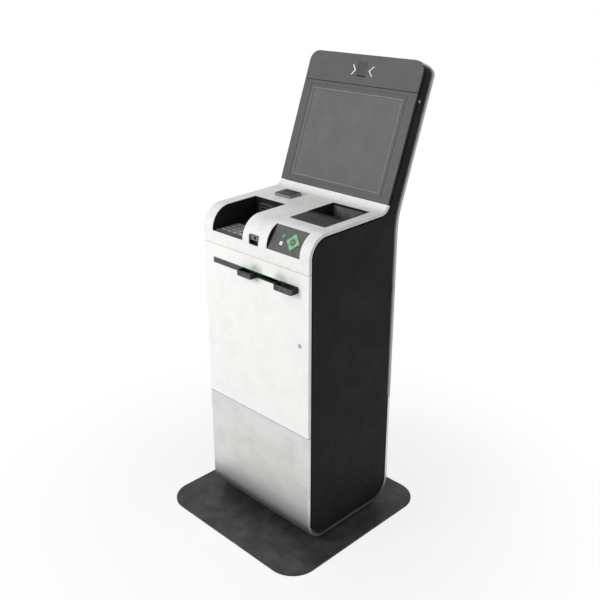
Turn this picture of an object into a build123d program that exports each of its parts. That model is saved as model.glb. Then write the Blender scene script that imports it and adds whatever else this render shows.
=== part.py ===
"""Ticket vending machine: a pedestal cabinet with a keyed deck and a leaning touch screen.

Frame: X to the right, Y to the rear, Z up, in millimetres.
Origin: centre of the base plate's underside.
"""
from build123d import *
from math import asin, cos, radians, sin, sqrt, tan
import os

os.makedirs("parts", exist_ok=True)

# ---------------------------------------------------------------- driving sizes
# Cabinet outline, seen from the side
body_width = 450.0
front_reach = 160.0
body_rear = 220.5
body_bottom = 14.0
body_corner = 70.0
deck_front_height = 1018.0
deck_slope = 1.6
head_foot_y = 160.3
head_foot_radius = 27.0
head_top_depth = 60.0
head_lean = 20.2
head_rear_lean = 19.1
head_heel_radius = 30.0
head_corner = 33.0
neck_radius = 220.0

# Sheet metal
sheet = 2.0
edge_round = 2.5
rim_width = 10.5
rim_depth = 16.0
groove_inset = 4.0
groove_width = 1.2
groove_depth = 1.2
shadow_gap = 6.0
panel_recess = 1.5
seam = 2.0
kick_top = 394.0
door_drop = 108.0
fit_gap = 0.25
skin_recess = 0.6
# How far a cut or a zone runs on past what it cuts
past = 40.0

# Base
plate_size = 617.0
plate_thickness = 6.0
plate_corner = 86.0
plinth_side = 35.0
plinth_front_setback = 74.0
plinth_rear_setback = 74.5
plinth_wall = 40.0
cable_radius = 30.0
cable_y = 60.0
screw_radius = 4.0
screw_length = 12.0
screw_clearance = 0.1

# Frame inside the cabinet
frame_plate = 4.0
frame_gap = 0.5
frame_border = 42.0
frame_low = 60.0
frame_high_drop = 30.0
jamb_gap = 1.5
bar = 20.0
shelf_thickness = 3.0
sill_height = 30.0
head_rail_margin = 80.0
head_rail_gap = 4.0
head_rail_thickness = 12.0
lower_shelf_rise = 26.0
shelf_setback = 20.0
shelf_rear_gap = 24.5

# Door furniture
hinge_inset_x = 6.0
hinge_inset_y = 5.2
pin_radius = 2.5
pin_clearance = 0.08
pin_reach = 6.0
collar_radius = 3.0
collar_height = 6.0
lock_side = 35.5
lock_rise = 294.7
lock_radius = 7.0
lock_proud = 1.5
lock_clearance = 0.06
boss_wall = 3.0
boss_depth = 11.0
cam_length = 14.0
cam_width = 11.0
cam_thickness = 3.0
striker_width = 8.0
striker_height = 24.0
striker_thickness = 2.5
striker_gap = 1.0
outlet_left_side = 42.5
outlet_right_side = 40.5
outlet_drop = 42.0
outlet_height = 19.0
outlet_slot_margin = 2.0
outlet_wall = 2.3
light_height = 1.6
light_depth = 2.0
tray_wall = 2.5
tray_round = 6.0
receipt_offset = 17.5
receipt_width = 61.0
receipt_reach = 26.0
ticket_width = 73.5
ticket_reach = 30.0

# Payment bay in the deck's front left corner
bay_side = 42.0
bay_width = 136.0
bay_length = 178.0
bay_drop = 68.0
liner_wall = 2.5
pad_width = 118.0
pad_depth = 90.0
pad_height = 6.0
pad_setback = 5.0
pad_side_gap = 3.5
pin_columns = 4
pin_rows = 4
pin_pitch_x = 25.0
pin_pitch_y = 19.0
pin_key_width = 20.0
pin_key_depth = 13.0
pin_key_height = 5.0
pin_key_proud = 2.0
pin_pocket = 4.5
key_gap = 0.3
reader_width = 62.0
reader_side = 42.0
reader_rise = 34.0
reader_height = 28.0
reader_reach = 22.0
card_slot_width = 55.0
card_slot_height = 4.8
card_slot_depth = 18.0

# Headphone pocket beside the bay
pocket_x = 1.0
pocket_width = 40.0
pocket_drop = 41.0
pocket_height = 31.0
pocket_round = 4.0
pocket_depth = 16.0
pocket_wall = 1.5
pocket_step = 7.0
pocket_step_height = 18.0
jack_radius = 4.5
jack_bore = 1.8
jack_length = 3.0

# Navigation keys on a flat cut across the deck's front right edge
nav_side = 37.0
nav_width = 133.0
nav_chord = 78.0
nav_thickness = 8.0
nav_wall = 2.0
nav_pocket = 6.0
diamond_inset = 45.0
diamond_w = 39.0
diamond_side = 38.2
select_side = 13.4
select_gap = 0.7
square_key_inset = 86.5
help_key_w = 49.0
volume_key_w = 27.0
square_key_side = 10.5
nav_key_proud = 2.0
nav_key_height = 6.5

# Scanner in the deck, right of centre
scanner_side = 31.5
scanner_width = 142.5
scanner_setback = 94.5
scanner_length = 188.0
scanner_round = 5.0
scanner_glass_reach = 81.5
scanner_wall = 2.5
scanner_well_depth = 62.0
glass_thickness = 3.0
glass_recess = 1.0

# Contactless reader on the deck, left of centre
tap_inset = 72.5
tap_setback = 71.0
tap_width = 72.0
tap_depth = 56.0
tap_height = 8.0
tap_cut = 4.0
tap_taper = 10.0
tap_window_width = 60.0
tap_window_depth = 43.0
tap_window_seat = 1.5
tap_window_rise = 2.0

# Screen; heights run up the leaning front from its foot
bezel_thickness = 4.0
bezel_start = 18.2
bezel_inset = 0.5
bezel_seam = 1.6
screen_side = 45.5
screen_low = 45.2
screen_high = 322.2
screen_top_margin = 24.8
camera_panel_height = 92.0
bezel_groove_margin = 12.5
bezel_groove = 1.2
screen_recess = 1.5
display_side_margin = 8.0
display_low_margin = 6.3
display_high_margin = 5.0
display_depth = 30.0
display_flange = 10.0
display_flange_thickness = 3.5
camera_slot_rise = 27.3
camera_slot_half = 18.0
camera_slot_width = 3.5
camera_half = 19.0
camera_rise = 32.2
camera_height = 38.0
camera_recess = 0.5
camera_thickness = 1.2
channel_half = 18.0
channel_depth = 0.6

# Equipment inside
ticket_printer_width = 96.0
ticket_printer_depth = 170.0
receipt_printer_width = 84.0
receipt_printer_depth = 130.0
printer_height = 88.0
printer_mouth_rise = 46.0
printer_gap = 2.0
printer_slot_height = 6.0
printer_slot_depth = 30.0
printer_slot_side = 12.0
roll_radius = 70.0
roll_width = 80.0
roll_y = -10.0
roll_drop = 91.0
spindle_radius = 10.0
spindle_clearance = 0.06
spindle_shoulder = 18.0
spindle_bracket = 4.0
spindle_end = 10.0
bracket_half = 22.0
roll_side_gap = 0.4
computer_side = 15.0
computer_depth = 200.0
computer_height = 70.0
supply_side = 30.0
supply_width = 120.0
supply_depth = 160.0
supply_height = 60.0
equipment_space = 25.0
equipment_y = 60.0
vent_length = 60.0
vent_height = 3.0
vent_pitch_x = 84.0
vent_pitch_z = 9.0
vent_columns = 3
vent_rows = 7
vent_z = 470.0

# ---------------------------------------------------------------- worked-out sizes
half = body_width / 2
body_front = -front_reach
door_top = deck_front_height - door_drop
plate_face = half - rim_depth
panel_inset = rim_width + shadow_gap
head_foot_z = deck_front_height + (head_foot_y - body_front) * tan(radians(deck_slope))
upright = 90.0
lean = radians(head_lean)
hinge_x = -half + hinge_inset_x
hinge_y = body_front + hinge_inset_y
door_back = body_front + rim_width
screen_half_width = half - screen_side
bezel_seam_height = screen_high + screen_top_margin
head_length = bezel_seam_height + camera_panel_height
display_half_width = screen_half_width - display_side_margin
display_low = screen_low + display_low_margin
display_high = screen_high - display_high_margin
camera_slot_height = bezel_seam_height + camera_slot_rise
camera_low = bezel_seam_height + camera_rise
camera_high = camera_low + camera_height
jamb_front = door_back + jamb_gap
door_low = kick_top + seam / 2
door_high = door_top - seam / 2


def head_point(height, depth):
    """Y and Z of a point up the screen's slope from its foot and in behind its face."""
    y = head_foot_y + height * sin(lean) + depth * cos(lean)
    z = head_foot_z + height * cos(lean) - depth * sin(lean)
    return (y, z)


def meet(first, second):
    """Where two lines cross, each given as a point and a heading in degrees."""
    (p, a), (q, b) = first, second
    da = (cos(radians(a)), sin(radians(a)))
    db = (cos(radians(b)), sin(radians(b)))
    across = da[0] * db[1] - da[1] * db[0]
    run = ((q[0] - p[0]) * db[1] - (q[1] - p[1]) * db[0]) / across
    return (p[0] + run * da[0], p[1] + run * da[1])


def inward(line, inset):
    """The line moved inward: the cabinet lies on the right of each heading."""
    (y, z), heading = line
    return ((y + inset * sin(radians(heading)), z - inset * cos(radians(heading))), heading)


# The outline's edges, up the front, over the deck, up the screen and down the rear
outline_edges = [
    ((body_front, deck_front_height), upright),
    ((body_front, deck_front_height), deck_slope),
    ((head_foot_y, head_foot_z), upright - head_lean),
    (head_point(head_length, 0), -head_lean),
    (head_point(head_length, head_top_depth), -upright - head_rear_lean),
    ((body_rear, body_bottom), -upright),
    ((body_front, body_bottom), 2 * upright),
]
# The radius where each edge meets the next, negative where the outline turns outward
outline_radii = [
    body_corner, -head_foot_radius, 0, head_heel_radius, -neck_radius, body_corner, body_corner,
]


def side_block(inset, start, end):
    """The cabinet's side outline moved inward by inset, as a block from X = start to X = end."""
    edges = [inward(edge, inset) for edge in outline_edges]
    corners = [meet(edge, after) for edge, after in zip(edges, edges[1:] + edges[:1])]
    with BuildPart() as block:
        with BuildSketch(Plane.YZ.offset(start)) as face:
            with BuildLine():
                Polyline(*corners, close=True)
            make_face()
            for corner, radius in zip(corners, outline_radii):
                if radius > inset or radius < 0:
                    fillet(face.vertices().sort_by_distance(corner)[0], abs(radius - inset))
        extrude(amount=end - start)
    return block.part


def side_zone(*points):
    """A block right across the cabinet over a region of its side view."""
    with BuildPart() as zone:
        with BuildSketch(Plane.YZ):
            with BuildLine():
                Polyline(*points, close=True)
            make_face()
        extrude(amount=body_width, both=True)
    return zone.part


head_plane = Plane(
    origin=(0, head_foot_y, head_foot_z), x_dir=(1, 0, 0), z_dir=(0, -cos(lean), sin(lean))
)
corner_x = half - head_corner
corner_v = head_length - head_corner


def head_corner_waste(radius):
    """What rounding the head's two top corners to this radius cuts away."""
    span = head_corner + rim_width
    with BuildPart() as waste:
        with BuildSketch(head_plane.offset(rim_width)):
            for side in (-1, 1):
                with Locations((side * (corner_x + span / 2), corner_v + span / 2)):
                    Rectangle(span, span)
            for side in (-1, 1):
                with Locations((side * corner_x, corner_v)):
                    Circle(radius, mode=Mode.SUBTRACT)
        extrude(amount=-(head_top_depth + 3 * rim_width))
    return waste.part


def front_face(piece, plane):
    """The piece's foremost face that lies parallel to a plane."""
    return piece.faces().filter_by(plane).sort_by(Axis(plane.origin, plane.z_dir))[-1]


def finish(shape, name):
    """Label a piece's shape and write it."""
    shape.label = name
    export_step(shape, f"parts/{name}.step")


# ---------------------------------------------------------------- the cabinet's skin, in one
outer_block = side_block(0, -half, half)
inner_block = side_block(sheet, -half + sheet, half - sheet)
window_block = side_block(rim_width, plate_face, half + sheet)
lip_outer = side_block(rim_width - sheet, plate_face, half - sheet)
lip_inner = side_block(rim_width, plate_face - sheet, half)
groove_outer = side_block(groove_inset, half - groove_depth, half + sheet)
groove_inner = side_block(groove_inset + groove_width, half - 2 * groove_depth, half + 2 * sheet)

with BuildPart() as outer:
    add(outer_block)
    side_faces = outer.faces().filter_by(Axis.X)
    fillet(side_faces.edges(), edge_round)
    add(head_corner_waste(head_corner), mode=Mode.SUBTRACT)

with BuildPart() as inner:
    add(inner_block)
    add(head_corner_waste(head_corner - sheet), mode=Mode.SUBTRACT)

with BuildPart() as lip:
    add(lip_outer)
    add(lip_inner, mode=Mode.SUBTRACT)
    add(head_corner_waste(head_corner - sheet / 2), mode=Mode.SUBTRACT)

with BuildPart() as groove:
    add(groove_outer)
    add(groove_inner, mode=Mode.SUBTRACT)

with BuildPart() as skin:
    add(outer)
    add(inner, mode=Mode.SUBTRACT)
    for cut in (window_block, window_block.mirror(Plane.YZ)):
        add(cut, mode=Mode.SUBTRACT)
    for flange in (lip.part, lip.part.mirror(Plane.YZ)):
        add(flange)

# ---------------------------------------------------------------- base
plinth_front = body_front + plinth_front_setback
plinth_rear = body_rear - plinth_rear_setback
plinth_width = body_width - 2 * plinth_side
plinth_y = (plinth_front + plinth_rear) / 2
plinth_length = plinth_rear - plinth_front
screw_head = 2 * screw_radius
head_depth = screw_head - screw_radius
underside = Plane(origin=(0, plinth_y, 0), z_dir=(0, 0, -1))


def screw_spots():
    """The four screws' places round the plinth."""
    return GridLocations(plinth_width - plinth_wall, plinth_length - plinth_wall, 2, 2)


with BuildPart() as base_plate:
    with BuildSketch():
        RectangleRounded(plate_size, plate_size, plate_corner)
        with Locations((0, cable_y)):
            Circle(cable_radius, mode=Mode.SUBTRACT)
    extrude(amount=plate_thickness)
    fillet(base_plate.faces().sort_by(Axis.Z)[-1].outer_wire().edges(), plate_thickness / 4)
    with Locations(underside):
        with screw_spots():
            CounterSinkHole(
                screw_radius + screw_clearance, screw_head + screw_clearance,
                counter_sink_angle=upright,
            )
finish(base_plate.part, "base_plate")

with BuildPart() as plinth_frame:
    with BuildSketch(Plane.XY.offset(plate_thickness)):
        with Locations((0, plinth_y)):
            Rectangle(plinth_width, plinth_length)
            Rectangle(
                plinth_width - 2 * plinth_wall, plinth_length - 2 * plinth_wall, mode=Mode.SUBTRACT
            )
    extrude(amount=body_bottom - plate_thickness)
    with Locations(underside):
        with screw_spots():
            Hole(screw_radius + screw_clearance)
finish(plinth_frame.part, "plinth_frame")

with BuildPart() as base_screws:
    with Locations(underside):
        with screw_spots():
            Cylinder(screw_radius, screw_length, align=(Align.CENTER, Align.CENTER, Align.MAX))
            Cone(screw_radius, screw_head, head_depth, align=(Align.CENTER, Align.CENTER, Align.MAX))
finish(base_screws.part, "base_screws")

# ---------------------------------------------------------------- shells cut from the skin
above = head_length + rim_width
chassis_start = bezel_start + seam / 2
chassis_top = head_length - rim_width - seam / 2
side_return_y = (body_front + sheet + door_back) / 2
return_depth = door_back - body_front - sheet


def cross_flange(height):
    """A flange across the cabinet's front edge, standing on the given height."""
    with Locations((0, side_return_y, height)):
        Box(2 * (half - sheet), return_depth, sheet, align=(Align.CENTER, Align.CENTER, Align.MIN))


def pin_bore():
    """The bore for the two hinge pins, at the door's two ends."""
    for height in (door_low, door_high):
        with Locations((hinge_x, hinge_y, height)):
            Cylinder(pin_radius + pin_clearance, 2 * (pin_reach + sheet), mode=Mode.SUBTRACT)


with BuildPart() as kick_band:
    add(skin)
    zone = side_zone(
        (body_front - past, 0), (body_rear + past, 0),
        (body_rear + past, kick_top - seam / 2), (body_front - past, kick_top - seam / 2),
    )
    add(zone, mode=Mode.INTERSECT)
    cross_flange(kick_top - seam / 2 - sheet)
    with Locations((0, cable_y, body_bottom)):
        Cylinder(cable_radius, past, mode=Mode.SUBTRACT)
    pin_bore()
finish(kick_band.part, "kick_band")

with BuildPart() as rear_shell:
    add(skin)
    zone = side_zone(
        (0, door_low), (body_rear + past, door_low),
        head_point(0, body_width / 2), head_point(above, body_width / 2),
        head_point(above, bezel_thickness + bezel_inset),
        head_point(chassis_top + seam / 2, bezel_thickness + bezel_inset),
        head_point(chassis_top + seam / 2, head_top_depth / 2),
        head_point(chassis_start, head_top_depth / 2),
        (head_foot_y - rim_width, (door_top + head_foot_z) / 2),
    )
    add(zone, mode=Mode.INTERSECT)
    with Locations(Plane(origin=(0, body_rear, vent_z), z_dir=(0, 1, 0))):
        with GridLocations(vent_pitch_x, vent_pitch_z, vent_columns, vent_rows):
            Box(vent_length, vent_height, past, mode=Mode.SUBTRACT)
finish(rear_shell.part, "rear_shell")

# The deck: cut-outs for the bay, pocket, navigation keys and scanner
nav_sweep = 2 * asin(nav_chord / (2 * body_corner))
nav_foot_z = deck_front_height - body_corner * tan(radians(upright - deck_slope) / 2)
nav_plane = Plane(
    origin=(0, body_front, nav_foot_z), x_dir=(1, 0, 0),
    z_dir=(0, -cos(nav_sweep / 2), sin(nav_sweep / 2)),
)
slope = radians(deck_slope)


def deck_plane(x, y):
    """A plane lying on the sloping deck at X and Y."""
    z = deck_front_height + (y - body_front) * tan(slope)
    return Plane(origin=(x, y, z), x_dir=(1, 0, 0), z_dir=(0, -sin(slope), cos(slope)))


bay_left = -half + bay_side
bay_right = bay_left + bay_width
bay_rear = body_front + bay_length
bay_floor = deck_front_height - bay_drop
bay_x = bay_left + bay_width / 2
pocket_z = deck_front_height - pocket_drop - pocket_height / 2
pocket_plane = Plane(origin=(pocket_x, body_front, pocket_z), x_dir=(1, 0, 0), z_dir=(0, -1, 0))
nav_right = half - nav_side
nav_x = nav_right - nav_width / 2
diamond_x = nav_right - diamond_inset
square_key_x = nav_right - square_key_inset
scanner_x = half - scanner_side - scanner_width / 2
scanner_y = body_front + scanner_setback + scanner_length / 2
scanner_plane = deck_plane(scanner_x, scanner_y)
low = (Align.CENTER, Align.CENTER, Align.MIN)
high = (Align.CENTER, Align.CENTER, Align.MAX)

with BuildPart() as deck_shell:
    add(skin)
    zone = side_zone(
        (body_front - past, door_top + seam / 2), (0, door_top + seam / 2),
        head_point(bezel_start, head_top_depth / 2), head_point(bezel_start, -past),
        (body_front - past, head_foot_z + past),
    )
    add(zone, mode=Mode.INTERSECT)
    cross_flange(door_top + seam / 2)
    pin_bore()
    for ring in (groove.part, groove.part.mirror(Plane.YZ)):
        add(ring, mode=Mode.SUBTRACT)
    with Locations((bay_x, bay_rear, bay_floor)):
        Box(
            bay_width, bay_length + past, bay_drop + past,
            align=(Align.CENTER, Align.MAX, Align.MIN), mode=Mode.SUBTRACT,
        )
    with BuildSketch(pocket_plane):
        RectangleRounded(pocket_width, pocket_height, pocket_round)
    extrude(amount=past, both=True, mode=Mode.SUBTRACT)
    with Locations(nav_plane):
        with Locations((nav_x, nav_chord / 2, -nav_thickness)):
            Box(nav_width, nav_chord, nav_thickness + past, align=low, mode=Mode.SUBTRACT)
    with BuildSketch(scanner_plane):
        RectangleRounded(scanner_width, scanner_length, scanner_round)
    extrude(amount=rim_width, both=True, mode=Mode.SUBTRACT)
finish(deck_shell.part, "deck_shell")

# ---------------------------------------------------------------- side panels
panel_back = half - panel_recess - sheet

with BuildPart() as panel_hollow:
    add(side_block(panel_inset + sheet, plate_face - sheet, panel_back))
    add(head_corner_waste(head_corner - panel_recess - sheet), mode=Mode.SUBTRACT)

with BuildPart() as side_panel_right:
    add(side_block(panel_inset, plate_face, half - panel_recess))
    add(head_corner_waste(head_corner - panel_recess), mode=Mode.SUBTRACT)
    add(panel_hollow, mode=Mode.SUBTRACT)
finish(side_panel_right.part, "side_panel_right")

with BuildPart() as side_panel_left:
    add(side_panel_right.part.mirror(Plane.YZ))
finish(side_panel_left.part, "side_panel_left")

# ---------------------------------------------------------------- front door
outlet_left = -half + outlet_left_side
outlet_right = half - outlet_right_side
outlet_top = door_top - outlet_drop
outlet_bottom = outlet_top - outlet_height
outlet_x = (outlet_left + outlet_right) / 2
outlet_z = (outlet_bottom + outlet_top) / 2
outlet_width = outlet_right - outlet_left
receipt_x = -receipt_offset
receipt_left = receipt_x - receipt_width / 2
ticket_left = outlet_right - ticket_width
ticket_x = outlet_right - ticket_width / 2
lock_x = half - lock_side
lock_z = kick_top + lock_rise
boss_radius = lock_radius + boss_wall
lock_plane = Plane(origin=(lock_x, body_front, lock_z), x_dir=(1, 0, 0), z_dir=(0, 1, 0))

with BuildPart() as front_door:
    add(skin)
    zone = side_zone(
        (body_front - past, door_low), (door_back, door_low),
        (door_back, door_high), (body_front - past, door_high),
    )
    add(zone, mode=Mode.INTERSECT)
    cross_flange(door_low)
    cross_flange(door_high - sheet)
    pin_bore()
    with Locations((outlet_x, body_front, outlet_z)):
        Box(outlet_width, past, outlet_height, mode=Mode.SUBTRACT)
    with Locations(lock_plane):
        with Locations((0, 0, sheet / 2)):
            Cylinder(boss_radius, boss_depth - sheet / 2, align=low)
        Cylinder(lock_radius + lock_clearance, past, mode=Mode.SUBTRACT)
finish(front_door.part, "front_door")

with BuildPart() as hinge_pins:
    for height, up in ((door_low + sheet, -1), (door_high - sheet, 1)):
        with Locations((hinge_x, hinge_y, height)):
            Cylinder(pin_radius, 2 * (pin_reach + sheet))
            Cylinder(collar_radius, collar_height, align=low if up < 0 else high)
finish(hinge_pins.part, "hinge_pins")

striker_y = body_front + boss_depth + striker_gap
cam_y = striker_y + striker_thickness + striker_gap

with BuildPart() as lock_barrel:
    with Locations(lock_plane):
        with Locations((0, 0, -lock_proud)):
            Cylinder(lock_radius, cam_y - body_front + lock_proud, align=low)
    chamfer(lock_barrel.faces().sort_by(Axis.Y)[0].edges(), lock_proud / 3)
    with Locations(lock_plane):
        with Locations((0, 0, -lock_proud)):
            Box(lock_radius / 4, lock_radius, lock_proud * 2, align=low, mode=Mode.SUBTRACT)
    with BuildSketch(Plane(origin=(lock_x, cam_y, lock_z), x_dir=(1, 0, 0), z_dir=(0, 1, 0))):
        with Locations((0, -(cam_length - cam_width / 2) / 2)):
            SlotOverall(cam_length + cam_width / 2, cam_width, rotation=90)
    extrude(amount=cam_thickness)
finish(lock_barrel.part, "lock_barrel")

# ---------------------------------------------------------------- ticket and receipt outlets
with BuildPart() as outlet_bezel:
    with Locations((outlet_x, body_front, outlet_z)):
        Box(
            outlet_width - 2 * fit_gap, rim_width, outlet_height - 2 * fit_gap,
            align=(Align.CENTER, Align.MIN, Align.CENTER),
        )
    with Locations((receipt_left + outlet_slot_margin, body_front, outlet_z)):
        Box(
            outlet_right - fit_gap - outlet_wall - receipt_left - outlet_slot_margin, past,
            outlet_height - 2 * (fit_gap + outlet_wall),
            align=(Align.MIN, Align.CENTER, Align.CENTER), mode=Mode.SUBTRACT,
        )
    with Locations((outlet_x, body_front, outlet_top - fit_gap)):
        Box(outlet_width, 2 * light_depth, 2 * light_height, mode=Mode.SUBTRACT)
finish(outlet_bezel.part, "outlet_bezel")

with BuildPart() as slot_light:
    with Locations((outlet_x, body_front, outlet_top - fit_gap)):
        Box(
            outlet_width - 2 * fit_gap, light_depth, light_height,
            align=(Align.CENTER, Align.MIN, Align.MAX),
        )
finish(slot_light.part, "slot_light")


def tray(left, right, reach):
    """An open-topped catch tray standing out of the door, rounded at its two front corners."""
    tray_low = outlet_bottom + fit_gap
    with BuildSketch(Plane.XY.offset(tray_low)) as plan:
        with Locations(((left + right) / 2, body_front)):
            Rectangle(right - left, reach, align=(Align.CENTER, Align.MAX))
        fillet(plan.vertices().group_by(Axis.Y)[0], tray_round)
    extrude(plan.sketch, amount=outlet_height - 2 * fit_gap - light_height)
    with BuildSketch(Plane.XY.offset(tray_low + tray_wall)) as hollow:
        with Locations(((left + right) / 2, body_front)):
            Rectangle(right - left - 2 * tray_wall, reach - tray_wall, align=(Align.CENTER, Align.MAX))
        fillet(hollow.vertices().group_by(Axis.Y)[0], tray_round - tray_wall)
    extrude(hollow.sketch, amount=outlet_height, mode=Mode.SUBTRACT)


with BuildPart() as receipt_tray:
    tray(receipt_left, receipt_left + receipt_width, receipt_reach)
finish(receipt_tray.part, "receipt_tray")

with BuildPart() as ticket_tray:
    tray(ticket_left, outlet_right - fit_gap, ticket_reach)
finish(ticket_tray.part, "ticket_tray")

# ---------------------------------------------------------------- payment bay
inner_skin = side_block(skin_recess, -half + sheet, half - sheet)
liner_back = bay_rear - fit_gap - liner_wall

with BuildPart() as bay_liner:
    with Locations((bay_x, bay_rear - fit_gap, bay_floor)):
        Box(
            bay_width - 2 * fit_gap, bay_length, bay_drop + past,
            align=(Align.CENTER, Align.MAX, Align.MIN),
        )
        Box(
            bay_width - 2 * fit_gap, bay_length - sheet - 2 * fit_gap, liner_wall,
            align=(Align.CENTER, Align.MAX, Align.MAX),
        )
    add(inner_skin, mode=Mode.INTERSECT)
    with Locations((bay_x, liner_back, bay_floor)):
        Box(
            bay_width - 2 * (fit_gap + liner_wall), bay_length + past, bay_drop + past,
            align=(Align.CENTER, Align.MAX, Align.MIN), mode=Mode.SUBTRACT,
        )
finish(bay_liner.part, "bay_liner")

pad_x = bay_right - fit_gap - liner_wall - pad_side_gap - pad_width / 2
pad_y = body_front + pad_setback + pad_depth / 2
pad_top = bay_floor + pad_height
pin_grid = GridLocations(pin_pitch_x, pin_pitch_y, pin_columns, pin_rows)
pad_plane = Plane(origin=(pad_x, pad_y, pad_top))

with BuildPart() as pin_pad_housing:
    with Locations(pad_plane):
        Box(pad_width, pad_depth, pad_height, align=high)
    chamfer(pin_pad_housing.faces().sort_by(Axis.Z)[-1].edges(), pad_height / 4)
    with BuildSketch(pad_plane):
        with pin_grid:
            RectangleRounded(pin_key_width + 2 * key_gap, pin_key_depth + 2 * key_gap, sheet)
    extrude(amount=-pin_pocket, mode=Mode.SUBTRACT)
finish(pin_pad_housing.part, "pin_pad_housing")

# Columns run left to right and, within each, rows run front to back
pin_names = [
    "star", "7", "4", "1",
    "0", "8", "5", "2",
    "hash", "9", "6", "3",
    "help", "enter", "clear", "cancel",
]
for name, spot in zip(pin_names, pin_grid.locations):
    with BuildPart() as pin_key:
        with BuildSketch(pad_plane.offset(pin_key_proud) * spot):
            RectangleRounded(pin_key_width, pin_key_depth, sheet)
        extrude(amount=-pin_key_height)
        fillet(pin_key.faces().sort_by(Axis.Z)[-1].edges(), pin_key_proud / 3)
    finish(pin_key.part, f"pin_key_{name}")

reader_x = bay_left + reader_side + reader_width / 2
reader_z = bay_floor + reader_rise + reader_height / 2

with BuildPart() as card_reader:
    with Locations((reader_x, liner_back, reader_z)):
        Box(
            reader_width, reader_reach, reader_height,
            align=(Align.CENTER, Align.MAX, Align.CENTER),
        )
    fillet(card_reader.faces().sort_by(Axis.Y)[0].edges(), sheet)
    with Locations((reader_x, liner_back - reader_reach, reader_z)):
        Box(card_slot_width, 2 * card_slot_depth, card_slot_height, mode=Mode.SUBTRACT)
finish(card_reader.part, "card_reader")

# ---------------------------------------------------------------- headphone pocket
with BuildPart() as audio_pocket:
    with BuildSketch(pocket_plane):
        RectangleRounded(pocket_width - 2 * fit_gap, pocket_height - 2 * fit_gap, pocket_round - fit_gap)
    extrude(amount=-pocket_depth)
    add(inner_skin, mode=Mode.INTERSECT)
    with BuildSketch(pocket_plane.offset(rim_width)):
        inner_width = pocket_width - 2 * (fit_gap + pocket_wall)
        inner_height = pocket_height - 2 * (fit_gap + pocket_wall)
        RectangleRounded(inner_width, inner_height, pocket_round - pocket_wall)
    extrude(amount=-(rim_width + pocket_step), mode=Mode.SUBTRACT)
    with Locations(pocket_plane):
        with Locations((0, -inner_height / 2, 0)):
            Box(
                inner_width - 2 * pocket_round, inner_height - pocket_step_height,
                2 * (pocket_depth - 2 * pocket_wall),
                align=(Align.CENTER, Align.MIN, Align.CENTER), mode=Mode.SUBTRACT,
            )
finish(audio_pocket.part, "audio_pocket")

with BuildPart() as audio_jack:
    with Locations(pocket_plane):
        with Locations((0, inner_height / 2 - pocket_step_height / 2, -pocket_step)):
            Cylinder(jack_radius, jack_length, align=low)
            Cylinder(jack_bore, past, mode=Mode.SUBTRACT)
finish(audio_jack.part, "audio_jack")

# ---------------------------------------------------------------- navigation keys
def diamond(side):
    """A square standing on its corner, centred on the group of five keys."""
    with Locations((diamond_x, diamond_w)):
        Rectangle(side, side, rotation=45)


with BuildPart() as nav_plate:
    with Locations(nav_plane):
        with Locations((nav_x, nav_chord / 2, -nav_thickness)):
            Box(nav_width - 2 * fit_gap, nav_chord - 2 * fit_gap, nav_thickness + past, align=low)
    add(inner_skin, mode=Mode.INTERSECT)
    with Locations(nav_plane):
        with Locations((nav_x, nav_chord / 2, 0)):
            Box(
                nav_width - 2 * (fit_gap + nav_wall), nav_chord + past, nav_thickness + past,
                align=low, mode=Mode.SUBTRACT,
            )
    with BuildSketch(nav_plane):
        diamond(diamond_side + 2 * key_gap)
        with Locations((square_key_x, help_key_w), (square_key_x, volume_key_w)):
            Rectangle(square_key_side + 2 * key_gap, square_key_side + 2 * key_gap)
    extrude(amount=-nav_pocket, mode=Mode.SUBTRACT)
finish(nav_plate.part, "nav_plate")

key_top = nav_plane.offset(nav_key_proud)
quarter = diamond_side / 2 - key_gap
reach = diamond_side / 2 / sqrt(2)
inner_side = select_side + 2 * select_gap
for name, (x, w) in {"up": (0, 1), "right": (1, 0), "down": (0, -1), "left": (-1, 0)}.items():
    with BuildPart() as nav_key:
        with BuildSketch(key_top):
            with Locations((diamond_x + x * reach, diamond_w + w * reach)):
                Rectangle(quarter, quarter, rotation=45)
            with Locations((diamond_x, diamond_w)):
                Rectangle(inner_side, inner_side, rotation=45, mode=Mode.SUBTRACT)
        extrude(amount=-nav_key_height)
        chamfer(front_face(nav_key, nav_plane).edges(), key_gap)
    finish(nav_key.part, f"nav_key_{name}")

for name, spot, side, turn in (
    ("select", (diamond_x, diamond_w), select_side, 45),
    ("help", (square_key_x, help_key_w), square_key_side, 0),
    ("volume", (square_key_x, volume_key_w), square_key_side, 0),
):
    with BuildPart() as nav_key:
        with BuildSketch(key_top):
            with Locations(spot):
                Rectangle(side, side, rotation=turn)
        extrude(amount=-nav_key_height)
        chamfer(front_face(nav_key, nav_plane).edges(), key_gap)
    finish(nav_key.part, f"nav_key_{name}")

# ---------------------------------------------------------------- scanner
split_w = scanner_glass_reach - scanner_length / 2
tray_width = scanner_width - 2 * fit_gap
tray_length = scanner_length - 2 * fit_gap
seat_depth = glass_recess + glass_thickness
well_length = scanner_length / 2 - split_w - fit_gap - scanner_wall
glass_length = scanner_length / 2 + split_w - fit_gap - scanner_wall

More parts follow.
